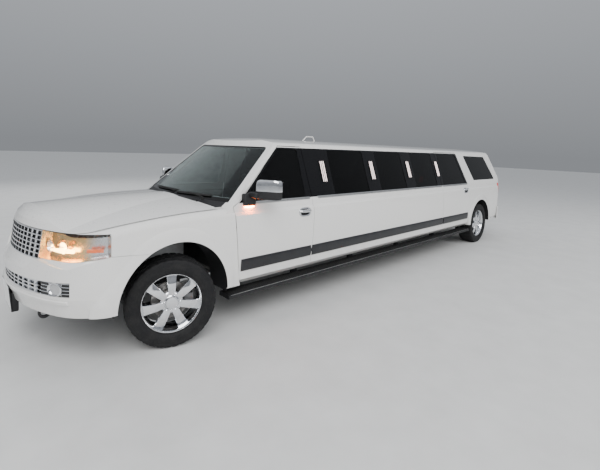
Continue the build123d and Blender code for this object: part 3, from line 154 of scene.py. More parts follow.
def band_mask(shader):
    """1 on the black band round the side windows."""
    x, _, z = shader.axes()
    height = shader.spread(z, *BAND_Z)
    front = shader.spread(height, 0, 1, *BAND_FRONT)
    rear = shader.spread(height, 0, 1, *BAND_REAR)
    return shader.calc("MULTIPLY", shader.within(x, rear, front), shader.within(z, *BAND_Z))


def paint(name, banded=False):
    """White pearl paint under clear coat, with fine flake and a little road film low down."""
    s = Shader(name, (0.80, 0.79, 0.765), 0.32, Coat_Weight=1.0, Coat_Roughness=0.03,
               Specular_IOR_Level=0.5)
    tone = s.mix(s.spread(s.cells(900), 0.0, 0.6), (0.84, 0.83, 0.80), (0.76, 0.75, 0.73))
    low_down = s.spread(s.axes()[2], 0.75, 0.35)
    film = s.calc("MULTIPLY", low_down, s.spread(s.noise(9, 6), 0.35, 0.75))
    tone = s.mix(s.calc("MULTIPLY", film, 0.35), tone, (0.42, 0.40, 0.37))
    if banded:
        band = band_mask(s)
        tone = s.mix(band, tone, (0.004, 0.004, 0.005))
        s.put(s.bsdf.inputs["Coat Weight"], s.spread(band, 0, 1, 1.0, 0.25))
        s.put(s.bsdf.inputs["Specular IOR Level"], s.spread(band, 0, 1, 0.5, 0.1))
    s.color(tone)
    s.rough(s.calc("ADD", s.spread(s.noise(60, 2), 0.3, 0.7, 0.26, 0.36), s.calc("MULTIPLY", film, 0.3)))
    s.bump(s.noise(220, 2), 0.04, 0.0004)
    return s.material


def plain_metal(name, color, roughness, wear=0.06):
    s = Shader(name, color, roughness, 1.0)
    grain = s.noise(40, 5)
    s.rough(s.spread(grain, 0.3, 0.7, roughness - wear / 2, roughness + wear))
    dull = tuple(0.82 * c for c in color)
    s.color(s.mix(s.spread(s.noise(14, 4), 0.45, 0.75), color, dull))
    s.bump(grain, 0.03, 0.0003)
    return s.material


def plastic(name, color, roughness, grain=900, depth=0.25):
    """Moulded plastic with a fine pebble grain."""
    s = Shader(name, color, roughness)
    cells = s.cells(grain)
    paler = tuple(min(1, 1.35 * c + 0.004) for c in color)
    s.color(s.mix(s.spread(s.noise(6, 4), 0.35, 0.7), color, paler))
    s.rough(s.spread(cells, 0, 0.6, roughness - 0.06, roughness + 0.1))
    s.bump(cells, depth, 0.0006)
    return s.material


def glass(name, color, index=1.5):
    s = Shader(name, color, 0.0, Transmission_Weight=1.0, IOR=index)
    s.rough(s.spread(s.noise(5, 4), 0.5, 0.8, 0.0, 0.02))
    return s.material


def leather(name, color):
    s = Shader(name, color, 0.42)
    pores = s.cells(420, "DISTANCE_TO_EDGE")
    wrinkles = s.noise(22, 6, 0.6)
    dark = tuple(0.55 * c for c in color)
    s.color(s.mix(s.spread(wrinkles, 0.3, 0.7), dark, color))
    s.rough(s.spread(wrinkles, 0.3, 0.7, 0.34, 0.52))
    s.bump(s.calc("ADD", s.spread(pores, 0, 0.3), s.calc("MULTIPLY", wrinkles, 0.8)), 0.35, 0.0008)
    return s.material


def carpet(name, color):
    s = Shader(name, color, 0.95, Sheen_Weight=0.4)
    pile = s.noise(700, 3)
    s.color(s.mix(s.spread(pile, 0.3, 0.7), tuple(0.5 * c for c in color), tuple(1.3 * c for c in color)))
    s.bump(pile, 0.8, 0.002)
    return s.material


def cast_metal(name, color, roughness=0.6, metallic=0.7):
    s = Shader(name, color, roughness, metallic)
    lumps = s.noise(160, 5)
    s.color(s.mix(s.spread(s.noise(11, 5), 0.4, 0.7), color, tuple(0.55 * c for c in color)))
    s.rough(s.spread(lumps, 0.3, 0.7, roughness - 0.1, roughness + 0.15))
    s.bump(lumps, 0.3, 0.001)
    return s.material


def rubber(name, color=(0.010, 0.010, 0.011)):
    s = Shader(name, color, 0.75, Specular_IOR_Level=0.3)
    dust = s.spread(s.noise(13, 5), 0.4, 0.8)
    s.color(s.mix(s.calc("MULTIPLY", dust, 0.5), color, (0.030, 0.029, 0.027)))
    s.rough(s.spread(s.noise(90, 3), 0.3, 0.7, 0.6, 0.85))
    s.bump(s.noise(500, 2), 0.2, 0.0005)
    return s.material


def glow(name, color, strength):
    s = Shader(name, color, 0.4, Emission_Color=color, Emission_Strength=strength)
    s.color(s.mix(s.spread(s.noise(30, 2), 0.3, 0.7), color, tuple(0.9 * c for c in color)))
    return s.material


def lamp_housing():
    """Polished lining with painted light: tinted warm where the main bulbs light it, and neutral round the
    side lamp.
    """
    s = Shader("lamp_housing", (0.7, 0.7, 0.7), 0.22, 1.0)
    outward = s.calc("ABSOLUTE", s.axes()[1])
    # Painted light: the warm tint inboard stands for the main bulbs' glow falling on the lining
    s.color(s.mix(s.spread(outward, 0.82, 0.88), (0.85, 0.58, 0.24), (0.66, 0.66, 0.66)))
    s.rough(s.spread(s.noise(40, 4), 0.3, 0.7, 0.18, 0.30))
    return s.material


def shield_glass():
    """Windshield glass, green-grey, with a printed black border along its foot and its head."""
    color = (0.36, 0.44, 0.43)
    s = Shader("windshield_glass", color, 0.0, Transmission_Weight=1.0, IOR=1.3)
    border = s.calc("SUBTRACT", 1.0, s.within(s.axes()[2], *SHIELD_Z, 0.003))
    s.color(s.mix(border, color, (0.006, 0.006, 0.006)))
    s.put(s.bsdf.inputs["Transmission Weight"], s.calc("SUBTRACT", 1.0, border))
    s.rough(s.spread(s.noise(5, 4), 0.5, 0.8, 0.0, 0.02))
    return s.material


PAINT = paint("pearl_paint")
BANDED_PAINT = paint("pearl_paint_banded", banded=True)
CHROME = plain_metal("chrome", (0.82, 0.83, 0.85), 0.08)
ALLOY = plain_metal("bare_alloy", (0.58, 0.59, 0.60), 0.38)
DARK_GLASS = glass("dark_glass", (0.035, 0.037, 0.04), index=1.25)
CLEAR_GLASS = glass("clear_glass", (0.86, 0.92, 0.90))
SHIELD_GLASS = shield_glass()
RED_LENS = glow("red_lens", (0.60, 0.012, 0.010), 0.30)
BLACK_PLASTIC = plastic("black_plastic", (0.007, 0.007, 0.008), 0.5)
GLOSS_BLACK = plastic("gloss_black", (0.008, 0.008, 0.009), 0.14, 300, 0.02)
DASH_PLASTIC = plastic("dash_plastic", (0.045, 0.043, 0.04), 0.55)
FRAME_BLACK = cast_metal("black_frame", (0.035, 0.035, 0.037), 0.55, 0.3)
CAST = cast_metal("bare_cast", (0.22, 0.22, 0.225))
TYRE_RUBBER = rubber("tyre_rubber")
SOFT_RUBBER = rubber("soft_rubber", (0.012, 0.012, 0.012))
LEATHER = leather("black_leather", (0.045, 0.04, 0.036))
CARPET = carpet("grey_carpet", (0.07, 0.067, 0.062))
HEADLINER = carpet("headliner", (0.30, 0.29, 0.27))
LACQUER = plastic("dark_lacquer", (0.035, 0.018, 0.012), 0.12, 60, 0.03)
LAMP_GLOW = glow("lamp_glow", (1.0, 0.60, 0.20), 38.0)
PILLAR_GLOW = glow("pillar_glow", (1.0, 0.84, 0.82), 2.0)
AMBER_GLOW = glow("amber_glow", (1.0, 0.16, 0.008), 170.0)
AMBER_LENS = glow("amber_lens", (0.9, 0.16, 0.03), 0.6)
LENS = glass("clear_lens", (0.96, 0.97, 0.98))
FOG_LENS = glow("fog_lens", (0.40, 0.40, 0.41), 0.12)
MIRROR = plain_metal("mirror", (0.88, 0.89, 0.90), 0.03, 0.01)
HOUSING = lamp_housing()
SATIN = plain_metal("satin_trim", (0.66, 0.66, 0.65), 0.30)
GLOSS_MOULDING = plastic("dark_moulding", (0.010, 0.010, 0.012), 0.30, 300, 0.02)
DISC_IRON = cast_metal("disc_iron", (0.30, 0.29, 0.28), 0.42, 0.9)
PLATE = plastic("blank_plate", (0.80, 0.80, 0.78), 0.35, 500, 0.05)
PIPING = leather("piping", (0.10, 0.095, 0.09))

# The CAD nodes of each material; a star stands for the left and the right node
LOOKS = {
    BANDED_PAINT: "body_side_* front_door_* rear_door_*",
    PAINT: "quarter_panel_* fender_* roof hood liftgate front_bumper rear_bumper roof_aerial",
    DARK_GLASS: "side_glass front_door_glass_* rear_door_glass_* liftgate_glass",
    SHIELD_GLASS: "windshield",
    CLEAR_GLASS: "headlights",
    RED_LENS: "taillights",
    GLOSS_BLACK: "opera_lights",
    CHROME: "grille lower_grille mirror_* front_rim_* rear_rim_*",
    BLACK_PLASTIC: "cowl_panel wheel_liners running_boards fuel_tank",
    DASH_PLASTIC: "dashboard",
    FRAME_BLACK: "chassis_frame front_suspension firewall",
    CAST: "rear_suspension driveshaft knuckle_*",
    ALLOY: "engine_block exhaust_system",
    CARPET: "floor_pan",
    LEATHER: "front_seats lounge_seat steering_wheel",
    LACQUER: "bar_cabinet partition",
    SOFT_RUBBER: "wipers",
    TYRE_RUBBER: "front_tyre_* rear_tyre_*",
}

# A face looks in when its normal points inwards by more than this, or downwards above HEADER_Z
LOOKS_IN, HEADER_Z = 0.35, 1.80


def paint_nodes():
    """Each CAD node gets the material of its row in LOOKS."""
    for material, names in LOOKS.items():
        for name in names.split():
            for side in ("left", "right") if "*" in name else ("",):
                mesh = NODES[name.replace("*", side)].data
                mesh.materials.clear()
                mesh.materials.append(material)


def looks_in(face, roof=False):
    """True on a panel's face that looks into the cabin or the engine bay."""
    inward = face.normal.y * (1 if face.center.y < 0 else -1)
    if roof or face.center.z > HEADER_Z:
        inward = max(inward, -face.normal.z)
    return inward > LOOKS_IN


def split_faces(node, material, wanted):
    """A further material on the faces of a CAD node that pass a test."""
    mesh = NODES[node].data
    mesh.materials.append(material)
    slot = len(mesh.materials) - 1
    for face in mesh.polygons:
        if wanted(face):
            face.material_index = slot


paint_nodes()
for side, _ in SIDES:
    for panel in ("body_side", "quarter_panel", "front_door", "rear_door"):
        split_faces(f"{panel}_{side}", LEATHER, looks_in)
    split_faces(f"fender_{side}", BLACK_PLASTIC, looks_in)
split_faces("roof", HEADLINER, lambda face: looks_in(face, roof=True))


# Mesh helpers

def link(name, data):
    piece = bpy.data.objects.new(name, data)
    bpy.context.scene.collection.objects.link(piece)
    return piece


def from_bmesh(name, bm):
    mesh = bpy.data.meshes.new(name)
    bm.to_mesh(mesh)
    bm.free()
    return link(name, mesh)


def rotation(degrees, axis):
    return Matrix.Rotation(math.radians(degrees), 4, axis)


def add(name, bm, material, body, smooth=40):
    """A finished piece from a bmesh, on its body; material is one or a list."""
    bmesh.ops.recalc_face_normals(bm, faces=bm.faces)
    piece = from_bmesh(name, bm)
    materials = material if isinstance(material, list) else [material]
    for one in materials:
        piece.data.materials.append(one)
    piece.data.shade_smooth()
    piece.data.set_sharp_from_angle(angle=math.radians(smooth))
    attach(piece, body)
    return piece


def grid(bm, rows, close_rows=False, close_columns=False, index=0):
    """Quads over rows of points."""
    made = [[bm.verts.new(p) for p in row] for row in rows]
    count, width = len(made), len(made[0])
    faces = []
    for i in range(count if close_rows else count - 1):
        a, b = made[i], made[(i + 1) % count]
        for j in range(width if close_columns else width - 1):
            k = (j + 1) % width
            faces.append(bm.faces.new((a[j], a[k], b[k], b[j])))
            faces[-1].material_index = index
    return made, faces


def turns(count):
    """Angles of a full turn in equal steps."""
    return [2 * math.pi * k / count for k in range(count)]


def revolve(bm, profile, count, wave=None, closed=True, place=Matrix()):
    """A (radius, y) profile turned about the Y axis; wave(i, j) changes a point's radius."""
    rows = []
    for i, a in enumerate(turns(count)):
        row = []
        for j, (r, y) in enumerate(profile):
            r += wave(i, j) if wave else 0
            row.append(place @ Vector((r * math.cos(a), y, r * math.sin(a))))
        rows.append(row)
    grid(bm, rows, close_rows=True, close_columns=closed)


def box(bm, low, high, bevel, segments=2, index=0, turn=None):
    """A box with rounded edges, turned about its middle."""
    made = bmesh.ops.create_cube(bm, size=1)["verts"]
    size = Vector(high) - Vector(low)
    middle = (Vector(high) + Vector(low)) / 2
    for v in made:
        v.co = Vector((v.co.x * size.x, v.co.y * size.y, v.co.z * size.z))
    edges = {e for v in made for e in v.link_edges}
    made = bmesh.ops.bevel(bm, geom=list(edges), offset=bevel, segments=segments, profile=0.5,
                           affect="EDGES")["verts"]
    for v in made:
        v.co = (turn @ v.co if turn else v.co) + middle
    for face in {f for v in made for f in v.link_faces}:
        face.material_index = index


def tube(bm, points, radius, sides=10, index=0):
    """A round bar along points, with flat ends; radius is one number or one for each point."""
    points = [Vector(p) for p in points]
    rows = []
    up = Vector((0, 0, 1))
    for i, p in enumerate(points):
        along = (points[min(i + 1, len(points) - 1)] - points[max(i - 1, 0)]).normalized()
        side = along.cross(up if abs(along.z) < 0.9 else Vector((1, 0, 0))).normalized()
        lift = side.cross(along)
        r = radius[i] if isinstance(radius, list) else radius
        rows.append([p + r * (math.cos(a) * side + math.sin(a) * lift) for a in turns(sides)])
    made, _ = grid(bm, rows, close_columns=True, index=index)
    for row in (made[0], made[-1]):
        bm.faces.new(row).material_index = index


def mirrored(points, sign):
    """Points of the left side, or their twins on the right where sign is -1."""
    return [(x, y * sign, z) for x, y, z in points]


def span(a, b, sign):
    """Two distances from the middle, as the low and high y of one side."""
    return sorted((a * sign, b * sign))


OUTLINE_STEPS = 40


def squared(power):
    """Points on an outline between a circle and a square."""
    points = [(math.cos(a), math.sin(a)) for a in turns(OUTLINE_STEPS)]
    return [[math.copysign(abs(part) ** power, part) for part in point] for point in points]


# Search trees of CAD nodes, and where rays start, clear of the car
TREES = {}
RAY_X, RAY_Y = 7, 3


def on_skin(node, look, u, v, sign=1):
    """Where a look meets a CAD node: the point and its normal. u and v are x and z for a look
    from the side, and y and z for one from ahead or behind."""
    if node not in TREES:
        TREES[node] = BVHTree.FromObject(NODES[node], bpy.context.evaluated_depsgraph_get())
    if look == "side":
        start, way = (u, RAY_Y * sign, v), (0, -sign, 0)
    else:
        end = 1 if look == "ahead" else -1
        start, way = (RAY_X * end, u, v), (-end, 0, 0)
    point, normal, _, _ = TREES[node].ray_cast(Vector(start), Vector(way))
    return point, normal


def relief(name, node, us, vs, height, material, body, look="side", sign=1, smooth=50):
    """A piece raised over a CAD surface: height(i, j) above it, with its rim sunk into it.
    Where a look misses, the last point that was met is taken again."""
    bm = bmesh.new()
    rows, last = [], None
    for i, u in enumerate(us):
        row = []
        for j, v in enumerate(vs):
            point, normal = on_skin(node, look, u, v, sign)
            if point is None:
                point, normal = last
            last = point, normal
            rim = i in (0, len(us) - 1) or j in (0, len(vs) - 1)
            row.append(point + normal * (-0.003 if rim else height(i, j)))
        rows.append(row)
    grid(bm, rows)
    add(name, bm, material, body, smooth)


def steps(a, b, n):
    return [a + (b - a) * i / n for i in range(n + 1)]


def edged(a, b, n, rim=0.002):
    """Steps with two close ones at each end, for a crisp rim."""
    return [a, a + rim] + steps(a + 3 * rim, b - 3 * rim, n) + [b - rim, b]


def crown(us, vs, full, edge=0.6):
    """Heights of a patch that is lower next to its rim."""
    def height(i, j):
        near = min(i, j, len(us) - 1 - i, len(vs) - 1 - j)
        return full * (edge if near <= 1 else 1)
    return height


# Wheels

# Half of the tread, outwards: y, and -1 at the bottom of a groove
HALF_TREAD = [
    (0.016, 0), (0.018, -1), (0.032, -1), (0.034, 0), (0.072, 0), (0.074, -1), (0.088, -1),
    (0.090, 0), (0.098, 0), (0.116, 0),
]
TREAD = [(-y, groove) for y, groove in reversed(HALF_TREAD)] + HALF_TREAD
SHOULDER_Y, MIDDLE_RIB_Y = 0.089, 0.030
# Side wall from the tread down to the bead: radius, y
WALL = [
    (0.394, 0.126), (0.386, 0.1315), (0.380, 0.1325), (0.378, 0.1345), (0.366, 0.1360),
    (0.364, 0.1345), (0.345, 0.1365), (0.318, 0.1370), (0.316, 0.1350), (0.300, 0.1330),
    (0.286, 0.1265), (0.280, 0.1210), (0.2665, 0.1190), (0.2605, 0.1120), (0.2600, 0.0900),
]
# Depths: grooves, cuts across the ribs, notches at the top of the walls
GROOVE, RIB_CUT, NOTCH = 0.008, 0.005, 0.004
# Gap to the tyre's radius, and the fall with the fourth power of y
TREAD_GAP, TREAD_FALL = 0.0006, 36
# Steps round the tyre, and between two cuts on the shoulders and on the ribs
TYRE_STEPS, SHOULDER_PITCH, RIB_PITCH = 180, 5, 6


def tread_cut(i, j):
    """How far point j of the tyre's profile drops at step i round it."""
    at_shoulder = i % SHOULDER_PITCH == 0
    if j >= len(TREAD):
        beside_tread = j in (len(TREAD), len(TREAD) + 2 * len(WALL) - 1)
        return -NOTCH if beside_tread and at_shoulder else 0
    y, groove = TREAD[j]
    if groove:
        return 0
    if abs(y) > SHOULDER_Y:
        return -GROOVE if at_shoulder else 0
    shift = 2 if abs(y) > MIDDLE_RIB_Y else 0
    return -RIB_CUT if (i + shift) % RIB_PITCH == 0 else 0


def tyre():
    """A tyre with grooved ribs, shoulder blocks and rings on its side walls."""
    bm = bmesh.new()
    tread = [(TYRE_R - TREAD_GAP - TREAD_FALL * y ** 4 + GROOVE * g, y) for y, g in TREAD]
    revolve(bm, tread + WALL + [(r, -y) for r, y in reversed(WALL)], TYRE_STEPS, tread_cut)
    return bm


# The rim's outer face; y values of a wheel start at its middle and go outwards
RIM_FACE = TYRE_HALF - 0.022
SPOKES, SPOKE_TURN = 7, 90 / 7
SPOKE_START, SPOKE_LENGTH = 0.050, 0.203
# Section of a spoke: share of half its width, height over its top line
SPOKE_SECTION = [
    (-1, -0.030), (-1, -0.006), (-0.90, -0.001), (-0.55, 0.001), (0, 0.0015), (0.55, 0.001),
    (0.90, -0.001), (1, -0.006), (1, -0.030),
]
LUGS, LUG_CIRCLE = 6, 0.080


def barrel(bm):
    """The band that carries the tyre, with its two lips."""
    y = RIM_FACE
    outside = [(0.268, y), (0.2665, y + 0.002), (0.262, y + 0.002), (0.257, y - 0.004),
               (0.252, y - 0.014), (0.247, y - 0.030), (0.241, y - 0.060), (0.236, y - 0.080)]
    inner_lip = [(0.236, -0.050), (0.246, -0.080), (0.256, -y + 0.010), (0.262, -y - 0.001),
                 (0.268, -y), (0.268, -y + 0.006), (0.259, -y + 0.012), (0.250, -y + 0.040)]
    back = [(0.241, -0.050), (0.241, 0.030), (0.258, y - 0.030), (0.259, y - 0.008),
            (0.266, y - 0.006)]
    revolve(bm, outside + inner_lip + back, 96)


def spokes(bm):
    """Broad rounded spokes that bow outwards and flare at the barrel."""
    for a in turns(SPOKES):
        turn = rotation(math.degrees(a) + SPOKE_TURN, "Y")
        rows = []
        for t in steps(0, 1, 12):
            r = SPOKE_START + SPOKE_LENGTH * t
            half = 0.031 + 0.014 * t + 0.010 * max(0, (t - 0.85) / 0.15) ** 2
            bow = 0.010 * math.sin(math.pi * min(1, 1.15 * t)) - 0.012 * t ** 3
            top = RIM_FACE - 0.030 + bow
            rows.append([turn @ Vector((r, top + up, half * share)) for share, up in SPOKE_SECTION])
        grid(bm, rows, close_columns=True)


def hub(bm):
    """Hub disc and cap, lug nuts, and the valve."""
    y = RIM_FACE
    revolve(bm, [(0.0, y - 0.012), (0.030, y - 0.013), (0.062, y - 0.020), (0.068, y - 0.026),
                 (0.092, y - 0.028), (0.099, y - 0.034), (0.099, y - 0.070), (0.0, y - 0.070)], 72)
    revolve(bm, [(0.0, y - 0.004), (0.030, y - 0.005), (0.048, y - 0.008), (0.050, y - 0.011),
                 (0.054, y - 0.011), (0.058, y - 0.016), (0.058, y - 0.022), (0.0, y - 0.022)], 48)
    for a in turns(LUGS):
        at = (LUG_CIRCLE * math.cos(a), y - 0.024, LUG_CIRCLE * math.sin(a))
        place = Matrix.Translation(at) @ rotation(-90, "X")
        bmesh.ops.create_cone(bm, segments=6, radius1=0.0115, radius2=0.0095, depth=0.022,
                              cap_ends=True, matrix=place)
    tube(bm, [(0.232, y - 0.012, 0.028), (0.222, y + 0.012, 0.028)], 0.0045, 8, index=1)


def rim():
    """A chromed wheel with its valve in black plastic."""
    bm = bmesh.new()
    barrel(bm)
    spokes(bm)
    hub(bm)
    return bm


def brake():
    """Ventilated disc with its hat, which shows between the spokes."""
    bm = bmesh.new()
    y = RIM_FACE - 0.084
    revolve(bm, [(0.076, y), (0.094, y - 0.001), (0.096, y - 0.014), (0.170, y - 0.014),
                 (0.172, y - 0.016), (0.172, y - 0.022), (0.164, y - 0.023), (0.164, y - 0.031),
                 (0.172, y - 0.032), (0.172, y - 0.038), (0.170, y - 0.040), (0.076, y - 0.040)], 72)
    return bm


# Parts of a wheel: name, what makes it, materials, angle of its sharp edges
WHEEL_PARTS = [
    ("tyre", tyre, TYRE_RUBBER, 28), ("rim", rim, [CHROME, BLACK_PLASTIC], 35),
    ("brake", brake, DISC_IRON, 30),
]


def wheels():
    """Tyre, rim and brake disc of each wheel; the first two stand for CAD nodes."""
    for name, at, turn in WHEELS:
        end, side = name.split("_")
        place = Matrix.Translation(at) @ rotation(turn, "Z")
        for part, make, materials, smooth in WHEEL_PARTS:
            bm = make()
            bm.transform(place)
            piece = add(f"{part}_{name}", bm, materials, f"{end}_wheel_{side}", smooth)
            if part != "brake":
                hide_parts(f"{end}_{part}_{side}")


wheels()


# Trim along the sides

# Panel, rear x, front x of the moulding, front x of the belt strip
SIDE_RUNS = [
    ("front_door", 1.828, 2.850, 2.706), ("body_side", -1.608, 1.804, 1.804),
    ("rear_door", -2.696, -1.636, -1.636),
]
RUN_STEP = 0.12
MOULDING_Z, BELT_STRIP_Z = (0.564, 0.693), (1.236, 1.266)
# Height over the panel, from the moulding's foot to its head
MOULDING_RISE = [0, 0.006, 0.010, 0.0125, 0.014, 0.0148, 0.015, 0.0148, 0.014, 0.0125, 0.010, 0.006, 0]

# Door handles: door, rear and front x, heights
HANDLES = [("front_door", 1.846, 2.042, 1.045, 1.150), ("rear_door", -2.660, -2.480, 1.080, 1.180)]
# Rings of a handle's bowl from its rim inwards: share of the outline, lift, material; material 1 is black
# painted as the shade of a deep recess
HANDLE_RINGS = [
    (1.0, -0.003, 0), (0.99, 0.004, 0), (0.95, 0.007, 0), (0.78, 0.006, 0), (0.72, 0.003, 0),
    (0.62, 0.0010, 1), (0.02, 0.0005, 1),
]
HANDLE_SQUARE = 0.7


def side_trim():
    """The dark polished moulding low on the sides, and the satin strip under the windows."""
    for side, sign in SIDES:
        for panel, rear, front, belt_front in SIDE_RUNS:
            node = f"{panel}_{side}"
            body = "body" if panel == "body_side" else node
            count = int((front - rear) / RUN_STEP)
            us, vs = edged(rear, front, count), edged(*MOULDING_Z, 8, 0.004)
            relief(f"moulding_{panel}_{side}", node, us, vs, lambda i, j: MOULDING_RISE[j],
                   GLOSS_MOULDING, body, sign=sign)
            us, vs = edged(rear, belt_front, count), edged(*BELT_STRIP_Z, 3, 0.0015)
            relief(f"belt_strip_{panel}_{side}", node, us, vs, crown(us, vs, 0.005, 0.8),
                   SATIN, body, sign=sign)


def handle_bowl(bm, node, sign, middle, half_x, half_z):
    """A raised rim round a shallow hollow, whose middle is black as painted shade of a deep recess."""
    rows = []
    for share, lift, _ in HANDLE_RINGS:
        row = []
        for u, v in squared(HANDLE_SQUARE):
            x, z = middle[0] + half_x * share * u, middle[1] + half_z * share * v
            point, normal = on_skin(node, "side", x, z, sign)
            row.append(point + normal * lift)
        rows.append(row)
    _, faces = grid(bm, rows, close_columns=True)
    # The inner rings take the black that paints the recess's shade
    for number, face in enumerate(faces):
        face.material_index = HANDLE_RINGS[number // OUTLINE_STEPS + 1][2]


def handle_bar(bm, node, sign, x0, x1, z):
    """A bar that bows away from the door and is thickest at its middle."""
    shares = steps(0, 1, 12)
    points = []
    for t in shares:
        point, normal = on_skin(node, "side", x0 + (x1 - x0) * t, z, sign)
        points.append(point + normal * (0.004 + 0.030 * math.sin(math.pi * t) ** 0.5))
    tube(bm, points, [0.012 + 0.006 * math.sin(math.pi * t) for t in shares], 12)


def door_handles():
    """A chromed bowl with a bar across it, the bowl's middle black as painted recess shade."""
    for side, sign in SIDES:
        for door, x0, x1, z0, z1 in HANDLES:
            node = f"{door}_{side}"
            middle = ((x0 + x1) / 2, (z0 + z1) / 2)
            bm = bmesh.new()
            handle_bowl(bm, node, sign, middle, (x1 - x0) / 2, (z1 - z0) / 2)
            handle_bar(bm, node, sign, x0 + 0.008, x1 - 0.008, middle[1] + 0.014)
            add(f"handle_{door}_{side}", bm, [CHROME, GLOSS_BLACK], node, smooth=50)


side_trim()
door_handles()


# Lamps

# Head lamps are above this height and fog lamps below it; a lens ends at this x
HEAD_LAMP_Z, LENS_END_X, LENS_WALL = 0.84, 4.12, 0.003

# Reflector bowls of the left head lamp: centre, and how far each looks outwards
BOWLS = [((4.458, 0.625, 0.985), 0.30), ((4.395, 0.745, 0.985), 0.40)]
BOWL_R, BOWL_DEPTH = 0.046, 0.040
# Points along the glow under the bowls, and along the amber side lamp
GLOW_LINE = [(4.452, 0.625, 0.958), (4.400, 0.720, 0.960), (4.338, 0.815, 0.962)]
AMBER_LINE = [(4.262, 0.898, 0.975), (4.215, 0.935, 0.975), (4.160, 0.955, 0.975)]

# Fog lamp: centre, how far the intake falls back per metre outwards, room for it between the bars
FOG_X, FOG_Y, FOG_Z, FOG_SLOPE, FOG_CLEAR = 4.457, 0.760, 0.672, 0.66, 0.057
# Ring round a fog lamp: radius, and how far it stands out
FOG_RING = [(0.043, -0.006), (0.045, 0.006), (0.051, 0.008), (0.056, 0.002)]
# Bars beside the fog lamp: heights, and their ends
FOG_BAR_Z, FOG_BAR_Y = (0.620, 0.646, 0.672, 0.698, 0.724), (0.625, 0.862)

# Opera lights: x of each, heights of the lit bars, and their places across the plate
OPERA_X = (1.503, 0.443, -0.577, -1.568)
OPERA_Z, OPERA_SHIFTS = (1.432, 1.680), (-0.029, 0, 0.029)


def lamp_faces(wanted):
    """The faces of the CAD lamps that pass a test, as a bmesh of their own."""
    bm = bmesh.new()
    bm.from_mesh(NODES["headlights"].data)
    bmesh.ops.delete(bm, geom=[f for f in bm.faces if not wanted(f)], context="FACES")
    return bm


def is_head_lamp(face):
    return face.calc_center_median().z > HEAD_LAMP_Z


def looks_out(face):
    """True on the skin of a lamp that shows from outside."""
    center = face.calc_center_median()
    outward = face.normal.y * (1 if center.y > 0 else -1)
    return face.normal.x > 0.30 or (outward > 0.55 and center.x > LENS_END_X)


def bowl(bm, at, aim):
    """A parabolic reflector that opens along aim, and its bulb in the second material."""
    turn = Vector((0, 1, 0)).rotation_difference(Vector(aim).normalized()).to_matrix().to_4x4()
    place = Matrix.Translation(at) @ turn
    profile = [(BOWL_R * t, -BOWL_DEPTH * (1 - t * t)) for t in steps(0.06, 1, 8)]
    profile += [(BOWL_R * 1.05, 0.0), (BOWL_R * 1.05, -0.006)]
    revolve(bm, profile, 32, closed=False, place=place)
    bulb = place @ Matrix.Translation((0, -BOWL_DEPTH * 0.55, 0)) @ Matrix.Diagonal((1, 1.7, 1, 1))
    made = bmesh.ops.create_uvsphere(bm, u_segments=16, v_segments=10, radius=BOWL_R * 0.24, matrix=bulb)
    for face in {f for v in made["verts"] for f in v.link_faces}:
        face.material_index = 1


def head_lamps():
    """A clear lens on a polished lining, with two lit bowls and an amber lamp on each side."""
    shell = lamp_faces(lambda f: is_head_lamp(f) and looks_out(f))
    bmesh.ops.solidify(shell, geom=shell.faces[:], thickness=-LENS_WALL)
    lens = add("headlamp_lens", shell, LENS, "body", smooth=30)
    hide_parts("headlights")
    lining = lamp_faces(lambda f: is_head_lamp(f) and not looks_out(f))
    add("headlamp_housing", lining, HOUSING, "body", smooth=30)
    bm = bmesh.new()
    for _, sign in SIDES:
        for (x, y, z), outward in BOWLS:
            bowl(bm, (x, y * sign, z), (1, outward * sign, 0))
        tube(bm, mirrored(GLOW_LINE, sign), [0.009, 0.020, 0.015], 12, index=1)
    add("headlamp_bowls", bm, [MIRROR, LAMP_GLOW], "body", smooth=50)
    bm = bmesh.new()
    for _, sign in SIDES:
        tube(bm, mirrored(AMBER_LINE, sign), 0.014, 10)
    add("headlamp_amber", bm, AMBER_LENS, "body", smooth=50)


def fog_lamps():
    """Fog lamps in chromed rings that follow the slope of the intake."""
    bm = bmesh.new()
    for _, sign in SIDES:
        rows = []
        for a in turns(48):
            row = []
            for radius, lift in FOG_RING:
                y, z = FOG_Y + radius * math.cos(a), FOG_Z + radius * math.sin(a)
                row.append((FOG_X - FOG_SLOPE * (y - FOG_Y) + lift, sign * y, z))
            rows.append(row)
        grid(bm, rows, close_rows=True)
    add("fog_lamp_rings", bm, CHROME, "body", smooth=50)
    add("fog_lamps", lamp_faces(lambda f: not is_head_lamp(f)), FOG_LENS, "body", smooth=30)


def beside_fog_lamp(face):
    """True on the outer ends of the intake, but not on its fine edges."""
    return 0.60 < abs(face.center.y) < 0.90 and face.area > 1e-4


def fog_bars():
    """Bright bars across the dark outer part of the intake, which stop short of the fog lamp."""
    split_faces("lower_grille", GLOSS_BLACK, beside_fog_lamp)
    bm = bmesh.new()
    for _, sign in SIDES:
        for z in FOG_BAR_Z:
            room = max(0, FOG_CLEAR ** 2 - (z - FOG_Z) ** 2) ** 0.5
            for y0, y1 in ((FOG_BAR_Y[0], FOG_Y - room), (FOG_Y + room, FOG_BAR_Y[1])):
                met = [on_skin("lower_grille", "ahead", sign * y, z)[0] for y in steps(y0, y1, 6)]
                points = [point + Vector((0.002, 0, 0)) for point in met if point is not None]
                if len(points) > 2:
                    tube(bm, points, 0.0038, 8)
    add("intake_bars", bm, CHROME, "body")


def opera_bars():
    """Three lit bars on each slim black plate between the windows."""
    bm = bmesh.new()
    for x in OPERA_X:
        for _, sign in SIDES:
            for shift in OPERA_SHIFTS:
                points = []
                for z in steps(*OPERA_Z, 4):
                    point, normal = on_skin("opera_lights", "side", x + shift, z, sign)
                    points.append(point + normal * 0.001)
                tube(bm, points, 0.0042, 10)
    add("opera_bars", bm, PILLAR_GLOW, "body", smooth=60)


head_lamps()
fog_lamps()
fog_bars()
opera_bars()


# Front, rear and side details

